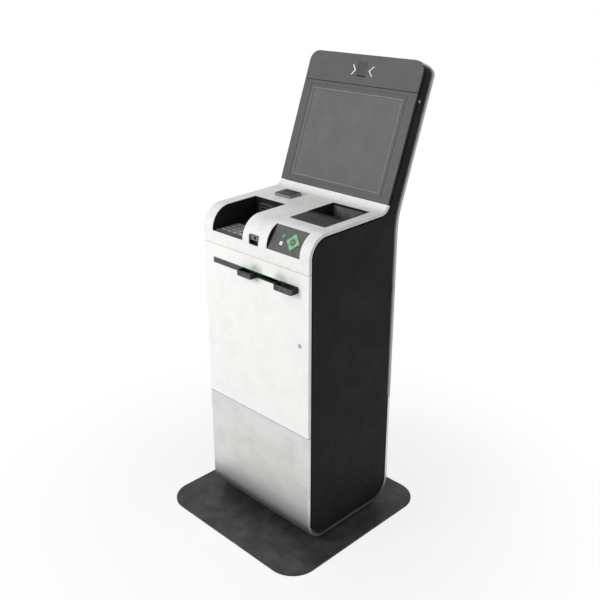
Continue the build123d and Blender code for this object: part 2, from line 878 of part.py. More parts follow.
with BuildPart() as scanner_tray:
    with BuildSketch(scanner_plane.offset(-skin_recess)):
        RectangleRounded(tray_width, tray_length, scanner_round - fit_gap)
    extrude(amount=-(seat_depth + scanner_wall - skin_recess))
    with BuildSketch(scanner_plane.offset(-seat_depth)):
        with Locations((0, split_w - scanner_wall)):
            Rectangle(tray_width, well_length + 2 * scanner_wall, align=(Align.CENTER, Align.MIN))
    extrude(amount=-scanner_well_depth)
    with BuildSketch(scanner_plane):
        with Locations((0, split_w)):
            Rectangle(tray_width - 2 * scanner_wall, well_length, align=(Align.CENTER, Align.MIN))
    extrude(amount=-(seat_depth + scanner_well_depth - scanner_wall), mode=Mode.SUBTRACT)
    with BuildSketch(scanner_plane):
        with Locations((0, split_w)):
            Rectangle(tray_width - 2 * scanner_wall, glass_length, align=(Align.CENTER, Align.MAX))
    extrude(amount=-seat_depth, mode=Mode.SUBTRACT)
finish(scanner_tray.part, "scanner_tray")

with BuildPart() as scanner_glass:
    with BuildSketch(scanner_plane.offset(-glass_recess)):
        with Locations((0, split_w)):
            Rectangle(
                tray_width - 2 * (scanner_wall + fit_gap), glass_length - fit_gap,
                align=(Align.CENTER, Align.MAX),
            )
    extrude(amount=-glass_thickness)
finish(scanner_glass.part, "scanner_glass")

# ---------------------------------------------------------------- contactless reader
tap_plane = deck_plane(bay_left + tap_inset, bay_rear + tap_setback)
tap_top = tap_plane.offset(tap_height)

with BuildPart() as tap_base:
    with BuildSketch(tap_plane) as outline:
        Rectangle(tap_width, tap_depth)
        chamfer(outline.vertices(), tap_cut)
    extrude(amount=tap_height, taper=tap_taper)
    with BuildSketch(tap_top):
        Rectangle(tap_window_width + 2 * fit_gap, tap_window_depth + 2 * fit_gap)
    extrude(amount=-tap_window_seat, mode=Mode.SUBTRACT)
finish(tap_base.part, "tap_base")

with BuildPart() as tap_window:
    with BuildSketch(tap_top.offset(-tap_window_seat)):
        Rectangle(tap_window_width, tap_window_depth)
    extrude(amount=tap_window_seat + tap_window_rise)
    fillet(tap_window.faces().sort_by(Axis.Z)[-1].edges(), tap_window_rise / 4)
finish(tap_window.part, "tap_window")

# ---------------------------------------------------------------- screen
bezel_back = head_plane.offset(-bezel_thickness)
chassis_back = head_plane.offset(-rim_width)


def panel(width, start, end):
    """A rectangle up the screen's slope, between two heights."""
    with Locations((0, start)):
        Rectangle(width, end - start, align=(Align.CENTER, Align.MIN))


def opening(width, start, end):
    """A rectangular hole up the screen's slope, between two heights."""
    with Locations((0, start)):
        Rectangle(width, end - start, align=(Align.CENTER, Align.MIN), mode=Mode.SUBTRACT)


with BuildPart() as screen_chassis:
    with BuildSketch(bezel_back):
        panel(body_width, chassis_start, chassis_top)
        opening(
            2 * (display_half_width + fit_gap), display_low - fit_gap, display_high + fit_gap
        )
    extrude(amount=-(rim_width - bezel_thickness))
    add(head_corner_waste(head_corner), mode=Mode.SUBTRACT)
finish(screen_chassis.part, "screen_chassis")

with BuildPart() as screen_bezel:
    with BuildSketch(bezel_back):
        panel(body_width - 2 * bezel_inset, chassis_start, bezel_seam_height - bezel_seam / 2)
        opening(2 * screen_half_width, screen_low, screen_high)
    extrude(amount=bezel_thickness)
    chamfer(front_face(screen_bezel, head_plane).edges(), bezel_inset)
    with BuildSketch(head_plane):
        panel(
            2 * (screen_half_width + bezel_groove_margin),
            screen_low - bezel_groove_margin, screen_high + bezel_groove_margin,
        )
        opening(
            2 * (screen_half_width + bezel_groove_margin - bezel_groove),
            screen_low - bezel_groove_margin + bezel_groove,
            screen_high + bezel_groove_margin - bezel_groove,
        )
    extrude(amount=-bezel_groove, mode=Mode.SUBTRACT)
finish(screen_bezel.part, "screen_bezel")

with BuildPart() as touch_screen:
    with BuildSketch(bezel_back):
        panel(2 * (screen_half_width - fit_gap), screen_low + fit_gap, screen_high - fit_gap)
    extrude(amount=bezel_thickness - screen_recess)
finish(touch_screen.part, "touch_screen")

with BuildPart() as display_module:
    with BuildSketch(bezel_back):
        panel(2 * display_half_width, display_low, display_high)
    extrude(amount=-display_depth)
    with BuildSketch(chassis_back):
        panel(
            2 * (display_half_width + display_flange),
            display_low - display_flange, display_high + display_flange,
        )
    extrude(amount=-display_flange_thickness)
finish(display_module.part, "display_module")

with BuildPart() as camera_panel:
    with BuildSketch(bezel_back):
        panel(body_width - 2 * bezel_inset, bezel_seam_height + bezel_seam / 2, head_length)
    extrude(amount=bezel_thickness)
    add(head_corner_waste(head_corner - bezel_inset), mode=Mode.SUBTRACT)
    chamfer(front_face(camera_panel, head_plane).edges(), bezel_inset)
    with BuildSketch(head_plane):
        panel(2 * channel_half, camera_high, above)
    extrude(amount=-channel_depth, mode=Mode.SUBTRACT)
    with BuildSketch(head_plane):
        panel(2 * (camera_half + fit_gap), camera_low - fit_gap, camera_high + fit_gap)
    extrude(amount=-(camera_recess + camera_thickness), mode=Mode.SUBTRACT)
    with BuildSketch(head_plane):
        with Locations((0, camera_slot_height)):
            SlotOverall(2 * camera_slot_half, camera_slot_width)
    extrude(amount=-2 * bezel_thickness, mode=Mode.SUBTRACT)
finish(camera_panel.part, "camera_panel")

with BuildPart() as camera_window:
    with BuildSketch(head_plane.offset(-camera_recess)):
        panel(2 * camera_half, camera_low, camera_high)
    extrude(amount=-camera_thickness)
finish(camera_window.part, "camera_window")

# ---------------------------------------------------------------- frame inside
rail = plate_face - frame_plate
bay_wide = 2 * rail
sill_top = kick_top - seam / 2 - sheet - frame_gap
header_low = door_top + seam / 2 + sheet + frame_gap
lower_shelf = kick_top + lower_shelf_rise
upper_shelf = outlet_bottom - printer_mouth_rise
shelf_front = body_front + shelf_setback
shelf_length = body_rear - shelf_rear_gap - shelf_front
frame_high = door_top - frame_high_drop
roll_z = upper_shelf - roll_drop
bracket_x = ticket_x + roll_width / 2 + roll_side_gap + frame_plate / 2


def cross_bar(y, z, depth, height):
    """A bar from one side plate to the other, with its front lower edge at y and z."""
    with Locations((0, y, z)):
        Box(bay_wide, depth, height, align=(Align.CENTER, Align.MIN, Align.MIN))


with BuildPart() as side_plate:
    add(side_block(sheet + frame_gap, rail, plate_face))
    door_zone = side_zone(
        (body_front - past, sill_top), (jamb_front, sill_top),
        (jamb_front, header_low), (body_front - past, header_low),
    )
    screen_zone = side_zone(
        head_point(bezel_start + bezel_inset, -past), head_point(bezel_start + bezel_inset, rim_width),
        head_point(above, rim_width), head_point(above, -past),
    )
    for zone in (door_zone, screen_zone, head_corner_waste(head_corner - 2 * sheet)):
        add(zone, mode=Mode.SUBTRACT)
    with BuildSketch(Plane.YZ):
        with Locations(((body_front + body_rear) / 2, (frame_low + frame_high) / 2)):
            RectangleRounded(
                body_rear - body_front - 2 * frame_border, frame_high - frame_low, bar
            )
    extrude(amount=half, mode=Mode.SUBTRACT)

# The bars and shelves stand face to face between the two side plates
with BuildPart() as cross_bars:
    cross_bar(plinth_front, body_bottom + sheet, bar, bar)
    cross_bar(plinth_rear - bar, body_bottom + sheet, bar, bar)
    cross_bar(jamb_front, sill_top - sill_height, bar, sill_height)
    cross_bar(jamb_front, header_low, bar, bar)
    cross_bar(body_rear - sheet - frame_gap - bar, frame_high, bar, bar)
    cross_bar(body_rear - sheet - frame_gap - bar, body_bottom + body_corner + bar, bar, bar)
    for shelf in (lower_shelf, upper_shelf):
        cross_bar(shelf_front, shelf - shelf_thickness, shelf_length, shelf_thickness)
    for height in (head_rail_margin, head_length - head_rail_margin):
        with BuildSketch(head_plane.offset(-(bezel_thickness + display_depth + head_rail_gap))):
            panel(bay_wide, height, height + bar)
        extrude(amount=-head_rail_thickness)

with BuildPart() as striker:
    with Locations((rail, striker_y, lock_z)):
        Box(
            striker_width, striker_thickness, striker_height,
            align=(Align.MAX, Align.MIN, Align.CENTER),
        )

with BuildPart() as roll_holder:
    with Locations((bracket_x, roll_y, roll_z - bracket_half)):
        Box(
            spindle_bracket, 2 * bracket_half, upper_shelf - shelf_thickness - roll_z + bracket_half,
            align=(Align.MIN, Align.CENTER, Align.MIN),
        )
    with Locations(Plane(origin=(bracket_x, roll_y, roll_z), z_dir=(-1, 0, 0))):
        Cylinder(spindle_shoulder, frame_plate / 2, align=low)
        Cylinder(spindle_radius, roll_width + spindle_end, align=low)

right_plate = side_plate.solids()
left_plate = side_plate.part.mirror(Plane.YZ).solids()
finish(
    Compound(right_plate + left_plate + cross_bars.solids() + striker.solids() + roll_holder.solids()),
    "cabinet_frame",
)

# ---------------------------------------------------------------- equipment
printer_front = jamb_front + printer_gap


def printer(x, width, depth):
    """A thermal printer standing on the upper shelf, with its mouth level with the outlet."""
    with Locations((x, printer_front, upper_shelf)):
        Box(width, depth, printer_height, align=(Align.CENTER, Align.MIN, Align.MIN))
    with Locations((x, printer_front, outlet_z)):
        Box(
            width - 2 * printer_slot_side, 2 * printer_slot_depth, printer_slot_height,
            mode=Mode.SUBTRACT,
        )


with BuildPart() as ticket_printer:
    printer(ticket_x, ticket_printer_width, ticket_printer_depth)
finish(ticket_printer.part, "ticket_printer")

with BuildPart() as receipt_printer:
    printer(receipt_x, receipt_printer_width, receipt_printer_depth)
finish(receipt_printer.part, "receipt_printer")

with BuildPart() as ticket_roll:
    with Locations(Plane(origin=(ticket_x, roll_y, roll_z), z_dir=(-1, 0, 0))):
        Cylinder(roll_radius, roll_width)
        Cylinder(spindle_radius + spindle_clearance, roll_width + past, mode=Mode.SUBTRACT)
finish(ticket_roll.part, "ticket_roll")

supply_left = rail - supply_side - supply_width
computer_left = -rail + computer_side
computer_width = supply_left - equipment_space - computer_left

with BuildPart() as computer:
    with Locations((computer_left + computer_width / 2, equipment_y, lower_shelf)):
        Box(computer_width, computer_depth, computer_height, align=low)
    fillet(computer.edges().filter_by(Axis.Z), sheet)
finish(computer.part, "computer")

with BuildPart() as power_supply:
    with Locations((supply_left + supply_width / 2, equipment_y, lower_shelf)):
        Box(supply_width, supply_depth, supply_height, align=low)
finish(power_supply.part, "power_supply")
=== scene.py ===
# %% [markdown]
# # A ticket vending machine, dressed for the render
# The solids come from the CAD model: a folded steel cabinet on a floor plate, with a leaning
# touch screen, a payment bay, navigation keys and a service door. Here they get their finishes,
# and the thin things that CAD leaves out: printed marks, key legends, screws and lamps.
# Everything is in metres, in the CAD's own frame, so nothing has to be fitted by eye.

# %% Load the frame
import bpy
from math import asin, cos, radians, sin
from mathutils import Matrix, Vector


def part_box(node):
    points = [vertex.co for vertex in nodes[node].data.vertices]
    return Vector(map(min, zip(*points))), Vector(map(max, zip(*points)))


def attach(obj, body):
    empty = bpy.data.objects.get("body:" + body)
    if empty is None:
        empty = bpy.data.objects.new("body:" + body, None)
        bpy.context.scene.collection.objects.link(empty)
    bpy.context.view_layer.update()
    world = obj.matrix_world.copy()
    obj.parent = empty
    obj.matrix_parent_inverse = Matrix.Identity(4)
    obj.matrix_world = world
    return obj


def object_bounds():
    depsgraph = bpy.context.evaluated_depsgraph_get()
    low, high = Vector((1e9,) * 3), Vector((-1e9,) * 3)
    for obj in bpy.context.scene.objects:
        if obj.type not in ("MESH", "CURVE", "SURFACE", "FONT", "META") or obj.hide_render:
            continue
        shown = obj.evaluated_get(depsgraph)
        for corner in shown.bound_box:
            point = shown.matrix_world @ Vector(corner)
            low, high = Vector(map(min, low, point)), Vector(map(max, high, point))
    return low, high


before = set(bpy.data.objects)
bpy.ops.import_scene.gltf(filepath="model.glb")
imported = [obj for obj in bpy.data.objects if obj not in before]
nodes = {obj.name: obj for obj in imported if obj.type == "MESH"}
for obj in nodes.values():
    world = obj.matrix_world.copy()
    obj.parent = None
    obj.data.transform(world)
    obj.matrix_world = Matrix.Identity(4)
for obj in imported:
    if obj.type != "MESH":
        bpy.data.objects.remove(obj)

cad_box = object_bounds()
print(len(nodes), "solids from CAD, box", cad_box)

# %% [markdown]
# Colours are picked as sRGB hex values, as on a paint card, but shaders work in linear light.
# One function turns the first into the second. One more adds a shader node with its settings,
# values and links, so that each finish below reads as a short recipe.

# %% Two helpers for materials
def linear(code):
    """The linear colour of an sRGB hex code."""
    levels = [int(code[i:i + 2], 16) / 255 for i in (1, 3, 5)]
    return [v / 12.92 if v <= 0.04045 else ((v + 0.055) / 1.055) ** 2.4 for v in levels] + [1.0]


def add(tree, kind, values=(), links=(), **settings):
    """Add a shader node, then set its properties and values and link its inputs."""
    node = tree.nodes.new("ShaderNode" + kind)
    for name, value in settings.items():
        setattr(node, name, value)
    for socket, value in dict(values).items():
        node.inputs[socket].default_value = value
    for socket, source in dict(links).items():
        tree.links.new(source, node.inputs[socket])
    return node


def finish(name):
    """A new material, with its node tree and its shader."""
    material = bpy.data.materials.new(name)
    material.use_nodes = True
    return material, material.node_tree, material.node_tree.nodes["Principled BSDF"]


def coat(material, *names):
    """Give CAD nodes a material."""
    for name in names:
        nodes[name].data.materials.clear()
        nodes[name].data.materials.append(material)


# A Mix node keeps sockets for floats, vectors and colours: these are its colour ones
FACTOR, FIRST, SECOND, RESULT = 0, 6, 7, 2
# A pattern's scale is its features per metre, from their size in millimetres
MM = 1000.0

# %% [markdown]
# The door, deck and rear are folded steel with a powder coat, sprayed dry and baked. It gives a
# hard, slightly pebbled skin with a soft sheen. In a public place it picks up faint grey smears
# of hand grease and dust, a palm or a finger wide, and a few fine scuffs. Two noises of those
# sizes tint the white, a stretched one draws the scuffs, and the smears also dull the sheen.
# Over the paper trays soft dark smudges fade out round a spot: painted shade where the trays stand out of
# the door, broken up like hand grime.

# %% Powder-coated steel, white
def powder_coat(name, colour, dirt_and_shade, amount, rough, smudge_and_shade_spots=()):
    """Powder coat with smears, scuffs and pebbling; amount says how dirty it is.

    Each smudge is a spot in metres and how far its painted shade and grime reach.
    """
    material, tree, shader = finish(name)
    place = add(tree, "TexCoord").outputs["Object"]
    palm = add(tree, "TexNoise", {"Scale": MM / 80, "Detail": 9, "Roughness": 0.72}, {"Vector": place})
    finger = add(tree, "TexNoise", {"Scale": MM / 14, "Detail": 7, "Roughness": 0.75}, {"Vector": place})
    wide = add(
        tree, "MapRange", {"From Min": 0.48, "From Max": 0.74, "To Max": amount},
        {"Value": palm.outputs["Fac"]}, clamp=True,
    )
    small = add(
        tree, "MapRange", {"From Min": 0.52, "From Max": 0.8, "To Max": 0.5 * amount},
        {"Value": finger.outputs["Fac"]}, clamp=True,
    )
    smears = add(
        tree, "Math", {}, {0: wide.outputs["Result"], 1: small.outputs["Result"]}, operation="ADD",
    )
    # Scuffs run at a slant, about 40 mm long and under 2 mm wide
    slant = add(
        tree, "Mapping", {"Rotation": (0.3, 0.7, 0.4), "Scale": (MM / 60, MM / 60, MM / 2.5)},
        {"Vector": place},
    )
    hair = add(tree, "TexNoise", {"Scale": 1.0, "Detail": 2}, {"Vector": slant.outputs["Vector"]})
    scuffs = add(
        tree, "MapRange", {"From Min": 0.7, "From Max": 0.74, "To Max": 0.8 * amount},
        {"Value": hair.outputs["Fac"]}, clamp=True,
    )
    marks = add(
        tree, "Math", {}, {0: smears.outputs[0], 1: scuffs.outputs["Result"]}, operation="ADD",
        use_clamp=True,
    )
    # Painted shade: each spot darkens the coat round it, broken up by the finger-wide noise like grime
    for spot, reach in smudge_and_shade_spots:
        near = add(tree, "VectorMath", {1: spot}, {0: place}, operation="DISTANCE")
        fade = add(
            tree, "MapRange", {"From Min": 0.2 * reach, "From Max": reach, "To Min": 1.0, "To Max": 0.0},
            {"Value": near.outputs["Value"]}, clamp=True, interpolation_type="SMOOTHERSTEP",
        )
        patchy = add(
            tree, "Math", {}, {0: fade.outputs["Result"], 1: finger.outputs["Fac"]},
            operation="MULTIPLY",
        )
        marks = add(
            tree, "Math", {}, {0: marks.outputs[0], 1: patchy.outputs[0]}, operation="ADD",
            use_clamp=True,
        )
    tint = add(
        tree, "Mix", {FIRST: linear(colour), SECOND: linear(dirt_and_shade)}, {FACTOR: marks.outputs[0]},
        data_type="RGBA",
    )
    sheen = add(
        tree, "MapRange", {"To Min": rough, "To Max": rough + 0.2}, {"Value": marks.outputs[0]},
    )
    pebble = add(tree, "TexNoise", {"Scale": MM / 2.5, "Detail": 2}, {"Vector": place})
    bump = add(
        tree, "Bump", {"Strength": 0.12, "Distance": 0.0004}, {"Height": pebble.outputs["Fac"]},
    )
    tree.links.new(tint.outputs[RESULT], shader.inputs["Base Color"])
    tree.links.new(sheen.outputs["Result"], shader.inputs["Roughness"])
    tree.links.new(bump.outputs["Normal"], shader.inputs["Normal"])
    shader.inputs["IOR"].default_value = 1.5
    return material


door_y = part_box("front_door")[0][1]
# Spots of painted shade at the trays' top corners, on the door's face
smudge_and_shade_spots = [
    ((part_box(tray)[shift][0], door_y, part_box(tray)[1][2] - 0.002), 0.042)
    for tray, shift in (("receipt_tray", 1), ("ticket_tray", 0))
]
door_coat = powder_coat("powder_coated_steel_white", "#F5F5F4", "#8F8D8A", 0.14, 0.42, smudge_and_shade_spots)
deck_coat = powder_coat("powder_coated_steel_handled", "#F1F1EF", "#A3A19D", 0.3, 0.42)
# Painted shade: the rear's white coat is mixed greyer and more marked, for the shade on the side away from
# the key light
rear_coat = powder_coat("powder_coated_steel_white_shaded", "#CDCCCA", "#8E8B86", 0.5, 0.48)
coat(door_coat, "front_door")
coat(deck_coat, "deck_shell")
coat(rear_coat, "rear_shell")
print("white powder coat on the door, deck and rear")

# %% [markdown]
# The kick band is stainless steel, brushed along its width with a belt and left bare, because
# shoes and mops would chip a coat. The belt leaves long fine lines that stretch reflections
# upwards. Real lines are under a tenth of a millimetre, so they are drawn 2 mm apart to show.
# Towards the foot the steel is painted darker, as painted shade and the dark floor plate's reflection
# there, and this thins out a hand's width up.

# %% Brushed stainless steel
def brushed_steel(name, colour, dull, rough):
    """Bare steel with belt lines along X and cloudy wear."""
    material, tree, shader = finish(name)
    place = add(tree, "TexCoord").outputs["Object"]
    long = add(tree, "Mapping", {"Scale": (MM / 160, MM / 2.2, MM / 2.2)}, {"Vector": place})
    lines = add(tree, "TexNoise", {"Scale": 1.0, "Detail": 4}, {"Vector": long.outputs["Vector"]})
    cloud = add(tree, "TexNoise", {"Scale": MM / 70, "Detail": 6}, {"Vector": place})
    slant = add(
        tree, "Mapping", {"Rotation": (0.0, -0.65, 0.0), "Scale": (MM / 90, MM / 90, MM / 2)},
        {"Vector": place},
    )
    hair = add(tree, "TexNoise", {"Scale": 1.0, "Detail": 1}, {"Vector": slant.outputs["Vector"]})
    scratch = add(
        tree, "MapRange", {"From Min": 0.73, "From Max": 0.76, "To Max": 0.5},
        {"Value": hair.outputs["Fac"]}, clamp=True,
    )
    worn = add(
        tree, "MapRange", {"From Min": 0.4, "From Max": 0.7}, {"Value": cloud.outputs["Fac"]},
        clamp=True,
    )
    brushed = add(
        tree, "MapRange", {"From Min": 0.3, "From Max": 0.7, "To Max": 0.6},
        {"Value": lines.outputs["Fac"]}, clamp=True,
    )
    both = add(
        tree, "Math", {2: 0.0}, {0: worn.outputs["Result"], 1: brushed.outputs["Result"]},
        operation="MULTIPLY_ADD",
    )
    tree.links.new(scratch.outputs["Result"], both.inputs[2])
    bare = add(
        tree, "Mix", {FIRST: linear(colour), SECOND: linear(dull)}, {FACTOR: both.outputs[0]},
        data_type="RGBA", clamp_factor=True,
    )
    height = add(tree, "SeparateXYZ", {}, {0: place})
    # Painted shade: the colour turns darker towards the foot, standing in for the shade and the dark
    # plate's reflection there
    foot_shade = add(
        tree, "MapRange", {"From Min": 0.02, "From Max": 0.16, "To Min": 0.85, "To Max": 0.0},
        {"Value": height.outputs["Z"]}, clamp=True, interpolation_type="SMOOTHSTEP",
    )
    tint = add(
        tree, "Mix", {SECOND: linear("#6E6D6B")},
        {FACTOR: foot_shade.outputs["Result"], FIRST: bare.outputs[RESULT]}, data_type="RGBA",
    )
    sheen = add(
        tree, "MapRange", {"To Min": rough, "To Max": rough + 0.15}, {"Value": both.outputs[0]},
    )
    bump = add(
        tree, "Bump", {"Strength": 0.25, "Distance": 0.0002}, {"Height": lines.outputs["Fac"]},
    )
    tree.links.new(tint.outputs[RESULT], shader.inputs["Base Color"])
    tree.links.new(sheen.outputs["Result"], shader.inputs["Roughness"])
    tree.links.new(bump.outputs["Normal"], shader.inputs["Normal"])
    shader.inputs["Metallic"].default_value = 1.0
    return material


steel = brushed_steel("brushed_stainless_steel", "#DDDDDC", "#B9B9B8", 0.46)
coat(steel, "kick_band")
print("brushed steel on the kick band")

# %% [markdown]
# The dark metal is mild steel with a matt powder coat: near black on the side panels, charcoal
# on the floor plate, mid grey round the screen. Matt coats scatter nearly all the light, so
# their reflection is kept weak. What tells them from plastic is a fine grain, rubbed patches
# that are a little paler, and bare scuffs where trolleys and shoes pass.

# %% Matt coats
def matt_coat(name, colour, rubbed, amount, rough, patch, specular):
    """A dark matt coat; patch is the size of its rubbed areas in millimetres."""
    material, tree, shader = finish(name)
    place = add(tree, "TexCoord").outputs["Object"]
    grain = add(tree, "TexNoise", {"Scale": MM / 3.5, "Detail": 3}, {"Vector": place})
    area = add(
        tree, "TexNoise", {"Scale": MM / patch, "Detail": 8, "Roughness": 0.65}, {"Vector": place},
    )
    rub = add(
        tree, "MapRange", {"From Min": 0.42, "From Max": 0.75, "To Max": amount},
        {"Value": area.outputs["Fac"]}, clamp=True,
    )
    fleck = add(
        tree, "MapRange", {"From Min": 0.3, "From Max": 0.8, "To Min": 0.0, "To Max": 0.3 * amount},
        {"Value": grain.outputs["Fac"]}, clamp=True,
    )
    both = add(
        tree, "Math", {}, {0: rub.outputs["Result"], 1: fleck.outputs["Result"]}, operation="ADD",
        use_clamp=True,
    )
    tint = add(
        tree, "Mix", {FIRST: linear(colour), SECOND: linear(rubbed)}, {FACTOR: both.outputs[0]},
        data_type="RGBA",
    )
    sheen = add(
        tree, "MapRange", {"To Min": rough, "To Max": rough - 0.15}, {"Value": both.outputs[0]},
    )
    bump = add(
        tree, "Bump", {"Strength": 0.15, "Distance": 0.0003}, {"Height": grain.outputs["Fac"]},
    )
    tree.links.new(tint.outputs[RESULT], shader.inputs["Base Color"])
    tree.links.new(sheen.outputs["Result"], shader.inputs["Roughness"])
    tree.links.new(bump.outputs["Normal"], shader.inputs["Normal"])
    shader.inputs["IOR"].default_value = 1.5
    shader.inputs["Specular IOR Level"].default_value = specular
    return material


coat(
    matt_coat("matt_powder_coat_black", "#131313", "#292929", 0.45, 0.62, 90, 0.12),
    "side_panel_left", "side_panel_right", "screen_chassis",
)
coat(
    matt_coat("matt_powder_coat_charcoal", "#2E2E2F", "#5C5754", 0.6, 0.5, 70, 0.25), "base_plate",
)
coat(
    matt_coat("matt_powder_coat_grey", "#565656", "#626262", 0.5, 0.5, 40, 0.3),
    "screen_bezel", "camera_panel",
)
coat(matt_coat("textured_grey_plate", "#767676", "#8A8A8A", 0.5, 0.5, 18, 0.35), "tap_base")
print("matt coats on the side panels, floor plate, screen surround and small plates")


def shade_beyond(material, axis, start, end, colour):
    """Let a finish turn to another colour between two places along an axis, in metres."""
    tree = material.node_tree
    shader = tree.nodes["Principled BSDF"]
    own = shader.inputs["Base Color"].links[0].from_socket
    place = add(tree, "TexCoord").outputs["Object"]
    sides = add(tree, "SeparateXYZ", {}, {0: place})
    share = add(
        tree, "MapRange", {"From Min": start, "From Max": end}, {"Value": sides.outputs[axis]},
        clamp=True,
    )
    mixed = add(
        tree, "Mix", {SECOND: linear(colour)}, {FACTOR: share.outputs["Result"], FIRST: own},
        data_type="RGBA",
    )
    tree.links.new(mixed.outputs[RESULT], shader.inputs["Base Color"])


# The key recess's left wall is painted near black, as painted shade in the recess where the light never
# reaches
recess = matt_coat("textured_grey_recess", "#565656", "#6A6A6A", 0.5, 0.5, 18, 0.3)
coat(recess, "nav_plate")
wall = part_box("nav_plate")[0][0] + 0.0026
shade_beyond(recess, "X", wall + 0.0002, wall, "#141414")

# %% [markdown]
# The liners of the pockets, the scanner tray, the paper outlets and the PIN pad are injection
# moulded ABS. It comes out of a spark-eroded mould with a fine even grain, which breaks up the
# gloss. Handled edges polish, so roughness varies over a few centimetres.

# %% Moulded ABS
def moulded(name, colour, worn, rough, specular=0.4):
    """Moulded plastic with mould grain and handled patches."""
    material, tree, shader = finish(name)
    place = add(tree, "TexCoord").outputs["Object"]
    handled = add(tree, "TexNoise", {"Scale": MM / 22, "Detail": 5, "Roughness": 0.6}, {"Vector": place})
    spot = add(
        tree, "MapRange", {"From Min": 0.4, "From Max": 0.72}, {"Value": handled.outputs["Fac"]},
        clamp=True,
    )
    tint = add(
        tree, "Mix", {FIRST: linear(colour), SECOND: linear(worn)}, {FACTOR: spot.outputs["Result"]},
        data_type="RGBA",
    )
    sheen = add(
        tree, "MapRange", {"To Min": rough, "To Max": rough - 0.12}, {"Value": spot.outputs["Result"]},
    )
    grain = add(tree, "TexVoronoi", {"Scale": MM / 1.2}, {"Vector": place})
    bump = add(
        tree, "Bump", {"Strength": 0.15, "Distance": 0.0002}, {"Height": grain.outputs["Distance"]},
    )
    tree.links.new(tint.outputs[RESULT], shader.inputs["Base Color"])
    tree.links.new(sheen.outputs["Result"], shader.inputs["Roughness"])
    tree.links.new(bump.outputs["Normal"], shader.inputs["Normal"])
    shader.inputs["IOR"].default_value = 1.53
    shader.inputs["Specular IOR Level"].default_value = specular
    return material


pins = [name for name in nodes if name.startswith("pin_key_")]
green_keys = ["nav_key_up", "nav_key_right", "nav_key_down", "nav_key_left", "nav_key_help"]
coat(
    moulded("abs_black", "#0E0E0E", "#242424", 0.5, 0.3),
    "bay_liner", "card_reader", "scanner_tray",
)
charcoal = moulded("abs_charcoal", "#3C3C3C", "#505050", 0.5)
coat(charcoal, "outlet_bezel", "pin_pad_housing")
# The trays are worn pale on their fronts, while their insides are painted near black as the shade under the
# slot
trays = moulded("abs_dark_grey", "#3A3A3A", "#6A6A6A", 0.55, 0.3)
coat(trays, "receipt_tray", "ticket_tray")
wall_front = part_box("ticket_tray")[0][1] + 0.004
shade_beyond(trays, "Y", wall_front, wall_front + 0.003, "#0D0D0D")
# The pocket's upper part, round the socket, is a pale grey plate, its grey raised to show through the
# pocket's shade; below it the liner is painted near black as the shade deep in the pocket
pocket = moulded("abs_pocket", "#0E0E0E", "#1C1C1C", 0.5, 0.3)
coat(pocket, "audio_pocket")
pocket_low, pocket_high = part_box("audio_pocket")
plate_foot = pocket_low[2] + 0.42 * (pocket_high[2] - pocket_low[2])
shade_beyond(pocket, "Z", plate_foot - 0.001, plate_foot, "#8E8E8E")
coat(moulded("abs_green", "#5A9A6B", "#6BAA7B", 0.4), *green_keys)
coat(moulded("abs_white", "#FAFAFA", "#F0F0EF", 0.4), "nav_key_volume")
coat(moulded("abs_plum_grey", "#544C54", "#665E66", 0.45), "nav_key_select")
coat(moulded("pressed_board_grey", "#4A4C4E", "#585A5C", 0.55), "computer", "power_supply")
coat(
    moulded("abs_printer_charcoal", "#262729", "#34363A", 0.5, 0.3),
    "ticket_printer", "receipt_printer", "display_module",
)
print("moulded plastics on", len(pins), "PIN keys' housing, liners, trays and keys")

# %% [markdown]
# The frame inside, the plinth and the screws are zinc-plated steel: a thin pale skin with a
# crystalline bloom a few centimetres wide. The PIN keys are die-cast zinc under satin chrome.

# %% Plated metals
def plated(name, colour, bloom, rough, size):
    """Plated metal; size is its bloom's width in millimetres."""
    material, tree, shader = finish(name)
    place = add(tree, "TexCoord").outputs["Object"]
    cells = add(tree, "TexVoronoi", {"Scale": MM / size}, {"Vector": place})
    cloud = add(tree, "TexNoise", {"Scale": MM / size, "Detail": 5}, {"Vector": place})
    spot = add(
        tree, "Math", {}, {0: cells.outputs["Distance"], 1: cloud.outputs["Fac"]}, operation="MULTIPLY",
        use_clamp=True,
    )
    tint = add(
        tree, "Mix", {FIRST: linear(colour), SECOND: linear(bloom)}, {FACTOR: spot.outputs[0]},
        data_type="RGBA",
    )
    sheen = add(
        tree, "MapRange", {"To Min": rough, "To Max": rough + 0.2}, {"Value": spot.outputs[0]},
    )
    bump = add(
        tree, "Bump", {"Strength": 0.1, "Distance": 0.0002}, {"Height": cloud.outputs["Fac"]},
    )
    tree.links.new(tint.outputs[RESULT], shader.inputs["Base Color"])
    tree.links.new(sheen.outputs["Result"], shader.inputs["Roughness"])
    tree.links.new(bump.outputs["Normal"], shader.inputs["Normal"])
    shader.inputs["Metallic"].default_value = 1.0
    return material


zinc = plated("zinc_plated_steel", "#A9ACAE", "#84878A", 0.4, 18)
coat(zinc, "cabinet_frame", "base_screws", "plinth_frame", "hinge_pins")
coat(plated("satin_chrome_key", "#BDBDBD", "#9A9A9A", 0.42, 6), *pins)
chrome = plated("polished_chrome", "#C8C8C8", "#A0A0A0", 0.15, 4)
coat(chrome, "lock_barrel")
coat(plated("black_nickel_brass", "#4A4945", "#35342F", 0.35, 3), "audio_jack")
print("plated metal on the frame, screws, keys and lock")

# %% [markdown]
# The touch screen is etched float glass over a panel that is switched off. Etching turns the
# mirror of bare glass into a grey haze, and fingers leave clouds of grease that show as paler
# patches a hand wide. The scanner's, reader's and camera's windows are dark tinted acrylic,
# smooth but wiped, with fine rub marks.

